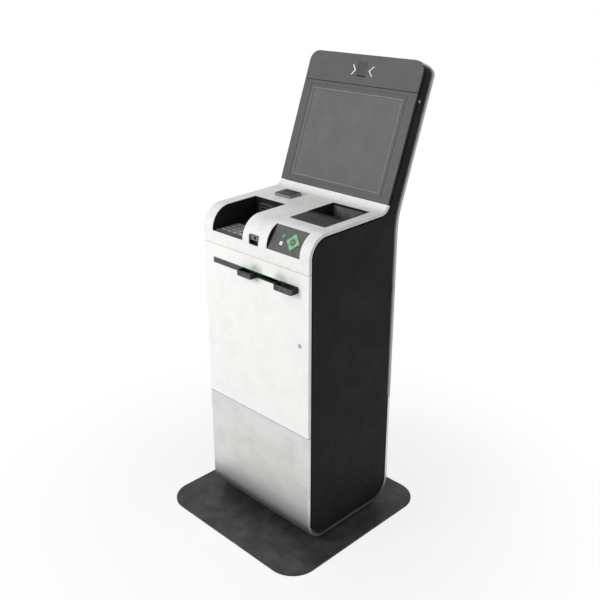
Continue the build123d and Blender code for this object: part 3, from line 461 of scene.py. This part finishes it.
# %% Glass and tinted acrylic
def window(name, colour, haze, rough, size, strength, ior):
    """A dark window; size is its smears' width in millimetres."""
    material, tree, shader = finish(name)
    place = add(tree, "TexCoord").outputs["Object"]
    smear = add(
        tree, "TexNoise", {"Scale": MM / size, "Detail": 7, "Roughness": 0.6, "Distortion": 0.6},
        {"Vector": place},
    )
    wiped = add(
        tree, "MapRange", {"From Min": 0.35, "From Max": 0.75, "To Max": strength},
        {"Value": smear.outputs["Fac"]}, clamp=True,
    )
    tint = add(
        tree, "Mix", {FIRST: linear(colour), SECOND: linear(haze)}, {FACTOR: wiped.outputs["Result"]},
        data_type="RGBA",
    )
    sheen = add(
        tree, "MapRange", {"To Min": rough, "To Max": rough + 0.25}, {"Value": wiped.outputs["Result"]},
    )
    tree.links.new(tint.outputs[RESULT], shader.inputs["Base Color"])
    tree.links.new(sheen.outputs["Result"], shader.inputs["Roughness"])
    shader.inputs["IOR"].default_value = ior
    return material


coat(window("etched_glass", "#585858", "#6F6F6F", 0.5, 60, 0.8, 1.45), "touch_screen")
coat(window("tinted_acrylic", "#151516", "#444444", 0.42, 22, 0.6, 1.49), "scanner_glass", "tap_window")
coat(window("tinted_acrylic_grey", "#343434", "#424242", 0.4, 12, 0.5, 1.49), "camera_window")
print("glass on the screen and windows")

# %% [markdown]
# Two things are neither paint nor plastic shell: the light pipe over the paper slot, a strip of
# frosted acrylic with green lamps at its ends, and the roll of thermal paper inside.

# %% Light pipe and paper
material, tree, shader = finish("frosted_light_pipe")
place = add(tree, "TexCoord").outputs["Object"]
lamps = add(tree, "TexNoise", {"Scale": MM / 35, "Detail": 1}, {"Vector": place})
glow = add(
    tree, "MapRange", {"From Min": 0.3, "From Max": 0.7, "To Min": 0.15, "To Max": 0.4},
    {"Value": lamps.outputs["Fac"]},
)
tree.links.new(glow.outputs["Result"], shader.inputs["Emission Strength"])
shader.inputs["Emission Color"].default_value = linear("#5CC483")
shader.inputs["Base Color"].default_value = linear("#6F9C7E")
shader.inputs["Roughness"].default_value = 0.5
coat(material, "slot_light")

material, tree, shader = finish("thermal_paper_roll")
place = add(tree, "TexCoord").outputs["Object"]
turns = add(tree, "TexNoise", {"Scale": MM / 4, "Detail": 6}, {"Vector": place})
tint = add(
    tree, "Mix", {FIRST: linear("#F2F0EA"), SECOND: linear("#DAD7CE")}, {FACTOR: turns.outputs["Fac"]},
    data_type="RGBA",
)
tree.links.new(tint.outputs[RESULT], shader.inputs["Base Color"])
shader.inputs["Roughness"].default_value = 0.8
coat(material, "ticket_roll")
print("light pipe and paper")

# %% [markdown]
# The thin things that CAD leaves out come next: seals, trims, signs, legends and screws. Each is
# made flat on a plane of its own, with X across, Y up the surface and Z outwards, as a maker lays
# out a panel on the bench. A matrix then lays the plane on the cabinet, and the place is
# applied, so that the finished mesh sits in the cabinet's frame like the CAD's own.

# %% Planes and places
def plane(origin, up, across=(1, 0, 0)):
    """A plane at a point in millimetres: X across, Y up, Z outwards."""
    sides = Vector(across), Vector(up).normalized()
    turned = Matrix((*sides, sides[0].cross(sides[1]))).transposed().to_4x4()
    turned.translation = Vector(origin) / MM
    return turned


def settle(name, place, body, material):
    """Lay the piece in hand on its plane, name it and let it ride a body."""
    piece = bpy.context.object
    piece.name = name
    piece.matrix_world = place @ piece.matrix_basis
    bpy.ops.object.transform_apply(location=True, rotation=True, scale=True)
    bpy.ops.object.shade_smooth_by_angle(angle=radians(35))
    piece.data.materials.clear()
    piece.data.materials.append(material)
    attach(piece, body)
    return piece


# The head leans back from its foot, and the deck rises a little to the rear
head_lean = radians(20.2)
head_foot = (0, 160.3, 1026.95)
head_plane = plane(head_foot, (0, sin(head_lean), cos(head_lean)))
deck_rise = radians(1.6)
deck_front, deck_height = -160, 1018
scanner_x, scanner_y = 122.25, 28.5
scanner_z = deck_height + (scanner_y - deck_front) * sin(deck_rise)
scanner_plane = plane((scanner_x, scanner_y, scanner_z), (0, cos(deck_rise), sin(deck_rise)))
door_plane = plane((0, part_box("front_door")[0][1] * MM, 0), (0, 0, 1))
# The navigation keys lie on a chord of the deck's round front edge
nav_chord, edge_radius = 78.0, 70
nav_foot = (0, deck_front, 949.93)
nav_lean = asin(nav_chord / (2 * edge_radius))
nav_plane = plane(nav_foot, (0, sin(nav_lean), cos(nav_lean)))
print("planes of the head, scanner, door and navigation keys")

# %% [markdown]
# Bars and plates are boxes whose edges are broken by a small bevel, as cut and tumbled parts
# are. Frames start as one flat face that is inset, opened in the middle and then extruded.

# %% Boxes and frames
def start():
    """Leave nothing selected, so that the next operators act on the new piece alone."""
    bpy.ops.object.select_all(action="DESELECT")


def shape():
    """Go into edit mode with everything selected."""
    if bpy.context.mode != "EDIT_MESH":
        bpy.ops.object.mode_set(mode="EDIT")
    bpy.ops.mesh.select_all(action="SELECT")


def pick(kind, test):
    """Select only the vertices, edges or faces that pass a test, and stay in edit mode."""
    shape()
    bpy.ops.mesh.select_mode(type=kind)
    bpy.ops.mesh.select_all(action="DESELECT")
    bpy.ops.object.mode_set(mode="OBJECT")
    mesh = bpy.context.object.data
    for element in {"VERT": mesh.vertices, "EDGE": mesh.edges, "FACE": mesh.polygons}[kind]:
        element.select = test(element)
    bpy.ops.object.mode_set(mode="EDIT")


def block(low, high, edge):
    """A box between two corners in millimetres, with its edges rounded."""
    low, high = Vector(low) / MM, Vector(high) / MM
    start()
    bpy.ops.mesh.primitive_cube_add(size=1, location=(low + high) / 2, scale=high - low)
    bpy.ops.object.transform_apply(location=False, rotation=False, scale=True)
    shape()
    bpy.ops.mesh.bevel(offset=edge / MM, segments=2, affect="EDGES")
    bpy.ops.object.mode_set(mode="OBJECT")


def rise(thick):
    """Extrude the open sheet in hand outwards, and turn its faces outwards."""
    shape()
    bpy.ops.mesh.extrude_region_move(TRANSFORM_OT_translate={"value": (0, 0, thick / MM)})
    bpy.ops.mesh.select_all(action="SELECT")
    bpy.ops.mesh.normals_make_consistent(inside=False)
    bpy.ops.object.mode_set(mode="OBJECT")


def border(low, high, wide, height, thick):
    """A flat frame between two corners, so wide, from a height over the plane."""
    low, high = Vector((*low, height)) / MM, Vector((*high, height)) / MM
    start()
    bpy.ops.mesh.primitive_plane_add(size=1, location=(low + high) / 2)
    bpy.context.object.scale = (high.x - low.x, high.y - low.y, 1)
    bpy.ops.object.transform_apply(location=False, rotation=False, scale=True)
    shape()
    bpy.ops.mesh.inset(thickness=wide / MM, depth=0)
    bpy.ops.mesh.delete(type="FACE")
    bpy.ops.object.mode_set(mode="OBJECT")
    rise(thick)


def disc(spot, radius, height, thick, sides=24):
    """A round plate on a plane, its rim rounded."""
    start()
    bpy.ops.mesh.primitive_cylinder_add(
        vertices=sides, radius=radius / MM, depth=thick / MM,
        location=Vector((*spot, height + thick / 2)) / MM,
    )
    corners = bpy.context.object.data.vertices
    pick("EDGE", lambda edge: min(corners[i].co.z for i in edge.vertices) > 0)
    bpy.ops.mesh.bevel(offset=min(thick, radius) * 0.3 / MM, segments=2, affect="EDGES")
    bpy.ops.object.mode_set(mode="OBJECT")


print("helpers for boxes, frames and discs")

# %% [markdown]
# Rubber closes the joints that rain and dust would find. A pale strip lies in the gap between
# the door and the deck, and a thin grey gasket runs round the screen, half under its bezel. Both
# are extruded EPDM, dull and slightly dusty.

# %% Seals
seal_rubber = moulded("epdm_rubber_pale", "#B9B9B7", "#CBCBC9", 0.7, 0.3)
gasket_rubber = moulded("epdm_rubber_grey", "#8A8A8A", "#9A9A9A", 0.6, 0.3)
gap_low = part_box("front_door")[1][2] * MM
gap_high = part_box("deck_shell")[0][2] * MM
# The strip hangs from the deck, clear of the door, and stops short of the hinge pins
seal_left, seal_right = -214.0, 224.0
seal_back, seal_front = -7.0, -0.7
door_clearance = 0.3
block((seal_left, gap_low + door_clearance, seal_back), (seal_right, gap_high, seal_front), 0.2)
settle("deck_seal", door_plane, "cabinet", seal_rubber)
screen_half, screen_low, screen_high = 179.5, 45.2, 322.2
# It laps this far over the glass and as far over the bezel
lap = 1.0
gasket_foot, gasket_thick = -0.6, 1.0
outer_low, outer_high = (-screen_half - lap, screen_low - lap), (screen_half + lap, screen_high + lap)
border(outer_low, outer_high, 2 * lap, gasket_foot, gasket_thick)
settle("screen_gasket", head_plane, "cabinet", gasket_rubber)
print("seal between", gap_low, "and", gap_high, "mm; gasket round the screen")

# %% [markdown]
# The head carries two white chevrons that point at the camera window. They are cut from vinyl
# film. A grid of two cells is bent at its middle row, which gives both strokes the same width
# and a sharp point. A small plug fills the hole on each side of the head where its case is
# screwed from within.

# %% Chevrons and side plugs
vinyl = moulded("vinyl_film_white", "#F4F4F4", "#E4E4E4", 0.4)
plug_plastic = moulded("nylon_plug_grey", "#A4A4A4", "#B4B4B4", 0.5)


def chevron(name, back, tip, low, high, stroke):
    """A bent stripe from its back ends to its tip."""
    start()
    middle = Vector(((back + stroke / 2), (low + high) / 2, 0)) / MM
    bpy.ops.mesh.primitive_grid_add(x_subdivisions=1, y_subdivisions=2, size=1, location=middle)
    bpy.context.object.scale = (stroke / MM, (high - low) / MM, 1)
    bpy.ops.object.transform_apply(location=False, rotation=False, scale=True)
    pick("VERT", lambda vertex: abs(vertex.co.y) < 0.001)
    bpy.ops.transform.translate(value=((tip - back - stroke) / MM, 0, 0))
    bpy.ops.object.mode_set(mode="OBJECT")
    rise(film_thick)
    settle(name, head_plane, "cabinet", vinyl)


film_thick = 0.3
mark_low, mark_high, mark_stroke = 375.7, 406.2, 4.6
chevron("chevron_left", -40.5, -24.0, mark_low, mark_high, mark_stroke)
chevron("chevron_right", 41.5, 31.0, mark_low, mark_high, mark_stroke)

depsgraph = bpy.context.evaluated_depsgraph_get()
plug_depth, plug_height = 21.0, 327.0
plug_spot = head_plane @ (Vector((0, plug_height, -plug_depth)) / MM)
outside = cad_box[1][0] + 0.1
for side, word in ((1, "right"), (-1, "left")):
    # A ray from outside finds the head's side there
    away = Vector((side * outside, plug_spot.y, plug_spot.z))
    found = bpy.context.scene.ray_cast(depsgraph, away, (-side, 0, 0))[1]
    face = plane(found * MM, (0, 0, 1), (0, side, 0))
    disc((0, 0), 4.2, -0.2, 0.9)
    settle(f"side_plug_{word}", face, "cabinet", plug_plastic)
    print("plug on the", word, "at", found)

# %% [markdown]
# Round the scanner's well runs a raised lip that guides a phone or ticket down. It is part of the moulding
# on the real thing, so it takes the same black. A grey plate lines the back wall of the well: its grey is
# painted light, showing that wall lit from the front while the black side walls stay in shade.

# %% Scanner trims
black_abs = bpy.data.materials["abs_black"]
tray_low, tray_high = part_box("scanner_tray")
half_width = (tray_high[0] - tray_low[0]) * MM / 2
well_start, well_end = -12.5, 93.5
lip = 3.4
lip_foot, lip_thick = -0.4, 1.6
border((-half_width, well_start - lip / 2), (half_width, well_end), lip, lip_foot, lip_thick)
settle("scanner_lip", scanner_plane, "cabinet", black_abs)
# Painted light: this grey plate stands for the well's back wall lit by the front light
lit_wall_grey = moulded("painted_lit_wall_grey", "#5A5A5A", "#707070", 0.9, 0.2)
plate_half = half_width - 3.2
plate_front, plate_back = 89.6, 90.6
plate_low, plate_high = -60.0, -5.0
block((-plate_half, plate_front, plate_low), (plate_half, plate_back, plate_high), 0.2)
settle("scanner_back_plate", scanner_plane, "cabinet", lit_wall_grey)
print("lip and back plate of the scanner")

# %% [markdown]
# The card reader shows a small green lamp while it waits, and its mouth has a raised grey collar that leads
# the card in; the collar's grey also paints the highlight on the mouth's edge. The pocket beside the bay
# has a charcoal frame.

# %% Card reader and pocket trims
collar_plastic = moulded("abs_collar_grey", "#4C4C4C", "#606060", 0.45)
reader_low, reader_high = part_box("card_reader")
reader_plane = plane((-110, reader_low[1] * MM, 998), (0, 0, 1))
# Painted highlight: the collar's grey also stands for the highlight on the card mouth's edge
border((-30.0, -5.2), (30.0, 5.2), 2.2, -0.2, 1.2)
settle("card_collar", reader_plane, "cabinet", collar_plastic)
material, tree, shader = finish("green_lamp_lens")
place = add(tree, "TexCoord").outputs["Object"]
spark = add(tree, "TexNoise", {"Scale": MM / 2, "Detail": 1}, {"Vector": place})
glow = add(tree, "MapRange", {"To Min": 0.5, "To Max": 0.9}, {"Value": spark.outputs["Fac"]})
tree.links.new(glow.outputs["Result"], shader.inputs["Emission Strength"])
shader.inputs["Emission Color"].default_value = linear("#3FB866")
shader.inputs["Base Color"].default_value = linear("#4E9C68")
shader.inputs["Roughness"].default_value = 0.3
lamp_lens = material
disc((21.0, 9.0), 1.5, -0.1, 0.8, 16)
settle("card_lamp", reader_plane, "cabinet", lamp_lens)
pocket_low, pocket_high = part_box("audio_pocket")
pocket_middle = (pocket_low[0] + pocket_high[0]) / 2 * MM
pocket_plane = plane((pocket_middle, pocket_low[1] * MM, 0), (0, 0, 1))
border(
    (-19.3, pocket_low[2] * MM + 0.4), (19.3, pocket_high[2] * MM - 0.4), 2.2, -0.2, 0.7,
)
settle("pocket_frame", pocket_plane, "cabinet", collar_plastic)
print("collar, lamp and pocket frame")

# %% [markdown]
# Each navigation key is a hard cap over a switch. The four quarters have a paler pad with an
# arrowhead, so that fingers and eyes find them. A quarter's pad is a square whose inner corner
# is cut away for the middle key: it is bisected twice, and the corner face is deleted.

# %% Pads and arrows on the green keys
pad_green = moulded("abs_pad_green", "#8ABB97", "#76A985", 0.45)
mark_green = moulded("print_pale_green", "#A2C4AB", "#93B69D", 0.5)
mark_grey = moulded("print_pale_grey", "#D3DAD5", "#C2CAC4", 0.5)
mark_dark = moulded("print_dark_grey", "#2B2F2C", "#383C39", 0.5)
diamond_x, diamond_w, diamond_side = 143.0, 39.0, 38.2
select_side, pad_edge, key_top = 13.4, 1.5, 2.0
key_gap, select_gap = 0.3, 0.7
near = key_gap + pad_edge
far = diamond_side / 2 - pad_edge
notch = select_side / 2 + select_gap + pad_edge
for turn, word in enumerate(("up", "left", "down", "right")):
    quarter = nav_plane @ Matrix.Translation(Vector((diamond_x, diamond_w, key_top - 0.1)) / MM)
    quarter = quarter @ Matrix.Rotation(radians(45 + 90 * turn), 4, "Z")
    start()
    middle = (near + far) / 2 / MM
    bpy.ops.mesh.primitive_plane_add(size=(far - near) / MM, location=(middle, middle, 0))
    bpy.ops.object.transform_apply(location=True, rotation=False, scale=False)
    shape()
    for normal in ((1, 0, 0), (0, 1, 0)):
        bpy.ops.mesh.select_all(action="SELECT")
        bpy.ops.mesh.bisect(plane_co=(notch / MM, notch / MM, 0), plane_no=normal)
    pick("FACE", lambda face: max(face.center.x, face.center.y) < notch / MM)
    bpy.ops.mesh.delete(type="FACE")
    bpy.ops.object.mode_set(mode="OBJECT")
    rise(0.35)
    settle(f"pad_{word}", quarter, f"nav_key_{word}", pad_green)
    # The arrowhead points outwards, along the quarter's own diagonal
    centre = (notch + far) / 2
    start()
    bpy.ops.mesh.primitive_circle_add(
        vertices=3, radius=3.4 / MM, fill_type="NGON",
        location=Vector((centre, centre, 0.3)) / MM, rotation=(0, 0, radians(-45)),
    )
    bpy.ops.object.transform_apply(location=False, rotation=True, scale=False)
    rise(0.25)
    settle(f"arrow_{word}", quarter, f"nav_key_{word}", mark_green)
print("pads and arrowheads on four keys")

# %% [markdown]
# The smaller keys carry a spot, a question mark and a loudspeaker. Type is made with Blender's
# own font as a text object, given a little thickness, and turned into a mesh before it is placed.

# %% Signs on the small keys
def sign(name, text, size, spot, height, place, body, material):
    """Printed type, standing just proud of a key."""
    start()
    bpy.ops.object.text_add(location=Vector((*spot, height)) / MM)
    words = bpy.context.object.data
    words.body = text
    words.size = size / MM
    words.align_x = "CENTER"
    words.align_y = "CENTER"
    words.extrude = 0.06 / MM
    words.resolution_u = 3
    bpy.ops.object.convert(target="MESH")
    shape()
    bpy.ops.mesh.remove_doubles(threshold=0.002 / MM)
    bpy.ops.mesh.normals_make_consistent(inside=False)
    bpy.ops.object.mode_set(mode="OBJECT")
    settle(name, place, body, material)


disc((diamond_x, diamond_w), 2.2, key_top - 0.1, 0.3, 20)
settle("select_spot", nav_plane, "nav_key_select", mark_grey)
small_x, help_w, volume_w = 101.5, 49.0, 27.0
sign("help_sign", "?", 9.0, (small_x, help_w), key_top + 0.05, nav_plane, "nav_key_help", mark_dark)
block((small_x - 3.2, volume_w - 1.0, key_top - 0.1), (small_x - 1.6, volume_w + 1.0, key_top + 0.15), 0.05)
settle("speaker_magnet", nav_plane, "nav_key_volume", mark_grey)
start()
bpy.ops.mesh.primitive_circle_add(
    vertices=3, radius=2.2 / MM, fill_type="NGON", rotation=(0, 0, radians(90)),
    location=Vector((small_x - 0.2, volume_w, key_top - 0.1)) / MM,
)
bpy.ops.object.transform_apply(location=False, rotation=True, scale=False)
rise(0.25)
settle("speaker_cone", nav_plane, "nav_key_volume", mark_grey)
print("signs on the select, help and volume keys")

# %% [markdown]
# The PIN keys' digits are engraved and filled with dark paint. Here they stand a twentieth of a
# millimetre proud, which looks the same and keeps the keys' own meshes whole. The function keys
# have a coloured bar as well: red to cancel, yellow to clear, green to enter.

# %% Legends on the PIN keys
legends = {name: name for name in "0123456789"}
legends.update({"star": "*", "hash": "#", "help": "?", "enter": "O", "clear": "<", "cancel": "X"})
bars = {"cancel": "#A34A44", "clear": "#B59B4A", "enter": "#5B9A6B"}
for key, text in legends.items():
    node = f"pin_key_{key}"
    low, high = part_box(node)
    top = plane(((low[0] + high[0]) / 2 * MM, (low[1] + high[1]) / 2 * MM, high[2] * MM), (0, 1, 0))
    sign(f"legend_{key}", text, 8.5, (0, 0.5), 0.04, top, node, mark_dark)
for key, colour in bars.items():
    node = f"pin_key_{key}"
    low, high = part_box(node)
    top = plane(((low[0] + high[0]) / 2 * MM, (low[1] + high[1]) / 2 * MM, high[2] * MM), (0, 1, 0))
    block((-7.5, -5.4, -0.1), (7.5, -3.8, 0.2), 0.05)
    paint = moulded(f"enamel_{key}", colour, colour, 0.4)
    settle(f"bar_{key}", top, node, paint)
print(len(legends), "legends and", len(bars), "coloured bars")

# %% [markdown]
# The rear shell is held by button-head screws along both edges. One head is a short cylinder with a rounded
# rim and a round socket, which is inset and pushed in. The others are copies, each with its own mesh.

# %% Rear screws
rear_plane = plane((0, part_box("kick_band")[1][1] * MM, 0), (0, 0, 1), (-1, 0, 0))
screw_radius, screw_height = 4.6, 2.2
for row, z in enumerate((440.0, 590.0, 740.0, 890.0)):
    for side, word in ((1, "left"), (-1, "right")):
        disc((side * 205.0, z), screw_radius, 0.0, screw_height)
        pick("FACE", lambda face: face.normal.z > 0.9 and len(face.vertices) > 8)
        bpy.ops.mesh.inset(thickness=1.2 / MM, depth=0)
        bpy.ops.mesh.inset(thickness=0.1 / MM, depth=-1.2 / MM)
        bpy.ops.object.mode_set(mode="OBJECT")
        settle(f"rear_screw_{word}_{row + 1}", rear_plane, "cabinet", zinc)
print("eight rear screws")

# %% [markdown]
# Behind the door, the computer and its power supply are bought-in boxes. What tells them from
# blocks is their front: a row of sockets, a fan behind its guard, a switch and vents.

# %% Fronts of the computer, supply and printers
socket_black = moulded("abs_socket_black", "#151515", "#222222", 0.5)
computer_low, computer_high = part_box("computer")
computer_plane = plane(
    (computer_low[0] * MM, computer_low[1] * MM, computer_low[2] * MM), (0, 0, 1),
)
for index in range(4):
    left = 14.0 + 18.0 * index
    border((left, 12.0), (left + 14.0, 18.5), 1.2, -0.2, 1.4)
    settle(f"computer_socket_{index + 1}", computer_plane, "cabinet", zinc)
for index in range(2):
    left = 92.0 + 20.0 * index
    border((left, 10.0), (left + 16.0, 24.0), 1.6, -0.2, 1.4)
    settle(f"network_socket_{index + 1}", computer_plane, "cabinet", socket_black)
disc((24.0, 50.0), 5.0, -0.2, 2.0)
settle("computer_switch", computer_plane, "cabinet", socket_black)
fan_spot = (180.0, 35.0)
for index, radius in enumerate((8.0, 16.0, 24.0)):
    start()
    bpy.ops.mesh.primitive_torus_add(
        major_radius=radius / MM, minor_radius=0.9 / MM, major_segments=48, minor_segments=8,
        location=Vector((*fan_spot, 1.4)) / MM,
    )
    settle(f"fan_guard_{index + 1}", computer_plane, "cabinet", zinc)
for index in range(2):
    reach = (26.0, 1.0) if index else (1.0, 26.0)
    low = (fan_spot[0] - reach[0], fan_spot[1] - reach[1], -0.2)
    high = (fan_spot[0] + reach[0], fan_spot[1] + reach[1], 1.2)
    block(low, high, 0.2)
    settle(f"fan_spoke_{index + 1}", computer_plane, "cabinet", zinc)
supply_low, supply_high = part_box("power_supply")
supply_plane = plane((supply_low[0] * MM, supply_low[1] * MM, supply_low[2] * MM), (0, 0, 1))
for index in range(8):
    left = 50.0 + 7.5 * index
    block((left, 12.0, -0.2), (left + 4.0, 48.0, 0.5), 0.2)
    settle(f"supply_vent_{index + 1}", supply_plane, "cabinet", socket_black)
border((10.0, 18.0), (38.0, 42.0), 3.0, -0.2, 2.0)
settle("supply_inlet", supply_plane, "cabinet", socket_black)
for word in ("ticket", "receipt"):
    low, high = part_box(f"{word}_printer")
    front = plane((low[0] * MM, low[1] * MM, low[2] * MM), (0, 0, 1))
    width = (high[0] - low[0]) * MM
    border((6.0, 6.0), (width - 6.0, 44.0), 1.6, -0.2, 1.0)
    settle(f"{word}_printer_panel", front, "cabinet", collar_plastic)
    disc((width - 16.0, 16.0), 3.2, -0.2, 1.6)
    settle(f"{word}_printer_button", front, "cabinet", socket_black)
    disc((16.0, 16.0), 1.6, -0.2, 1.0, 16)
    settle(f"{word}_printer_lamp", front, "cabinet", lamp_lens)
print("sockets, fan, vents and printer panels")

# %% [markdown]
# The floor is a plain pale sheet, and the studio light is soft: one broad panel in front and to
# the left, and an even white surround. The surround shows white to the camera and in
# reflections, but lights the object at a plain level, so colours come out about as written.

# %% Camera, floor and lights
camera = bpy.data.objects.new("camera", bpy.data.cameras.new("camera"))
bpy.context.scene.collection.objects.link(camera)
bpy.context.scene.camera = camera
camera.data.lens = 50.0
camera.data.sensor_width = 36.0
camera.location = (1.70299, -1.67274, 1.71737)
aim = Vector((0.0, 0.0303, 0.7198)) - camera.location
camera.rotation_euler = aim.to_track_quat("-Z", "Y").to_euler()

bpy.ops.object.select_all(action="DESELECT")
bpy.ops.mesh.primitive_circle_add(vertices=96, radius=9.0, fill_type="NGON", location=(0, 0, 0))
floor = bpy.context.object
floor.name = "floor"
material, tree, shader = finish("studio_floor")
place = add(tree, "TexCoord").outputs["Object"]
far = add(tree, "VectorMath", {}, {0: place}, operation="LENGTH")
away = add(
    tree, "MapRange", {"From Min": 0.35, "From Max": 1.2, "To Min": 0.78, "To Max": 1.0},
    {"Value": far.outputs["Value"]}, clamp=True, interpolation_type="SMOOTHSTEP",
)
rays = add(tree, "LightPath")
seen = add(
    tree, "Math", {}, {0: rays.outputs["Is Camera Ray"], 1: rays.outputs["Is Glossy Ray"]},
    operation="MAXIMUM",
)
share = add(
    tree, "Math", {}, {0: away.outputs["Result"], 1: seen.outputs[0]}, operation="MULTIPLY",
)
white = add(tree, "Emission", {"Color": linear("#FFFFFF"), "Strength": 1.0})
blend = add(
    tree, "MixShader", {}, {0: share.outputs[0], 1: shader.outputs["BSDF"], 2: white.outputs[0]},
)
tree.links.new(blend.outputs[0], tree.nodes["Material Output"].inputs["Surface"])
shader.inputs["Base Color"].default_value = linear("#F7F7F6")
shader.inputs["Roughness"].default_value = 0.9
shader.inputs["Specular IOR Level"].default_value = 0.1
floor.data.materials.append(material)

world = bpy.data.worlds.new("studio")
bpy.context.scene.world = world
world.use_nodes = True
tree = world.node_tree
rays = add(tree, "LightPath")
seen = add(
    tree, "Math", {}, {0: rays.outputs["Is Camera Ray"], 1: rays.outputs["Is Glossy Ray"]},
    operation="MAXIMUM",
)
seen = add(
    tree, "Math", {}, {0: seen.outputs[0], 1: rays.outputs["Is Transmission Ray"]},
    operation="MAXIMUM",
)
level = add(
    tree, "MapRange", {"To Min": 0.5, "To Max": 1.0}, {"Value": seen.outputs[0]},
)
tree.links.new(level.outputs["Result"], tree.nodes["Background"].inputs["Strength"])
tree.nodes["Background"].inputs["Color"].default_value = linear("#FFFFFF")


def panel_light(name, spot, target, width, power):
    """A square soft light at a spot, turned to a target."""
    lamp = bpy.data.objects.new(name, bpy.data.lights.new(name, "AREA"))
    bpy.context.scene.collection.objects.link(lamp)
    lamp.data.size = width
    lamp.data.energy = power
    lamp.location = spot
    lamp.rotation_euler = (Vector(target) - Vector(spot)).to_track_quat("-Z", "Y").to_euler()


panel_light("key_light", (-1.2, -3.6, 2.6), (0, 0, 0.8), 2.0, 85.0)
bpy.context.scene.view_settings.view_transform = "Standard"
print("camera, floor and lights")
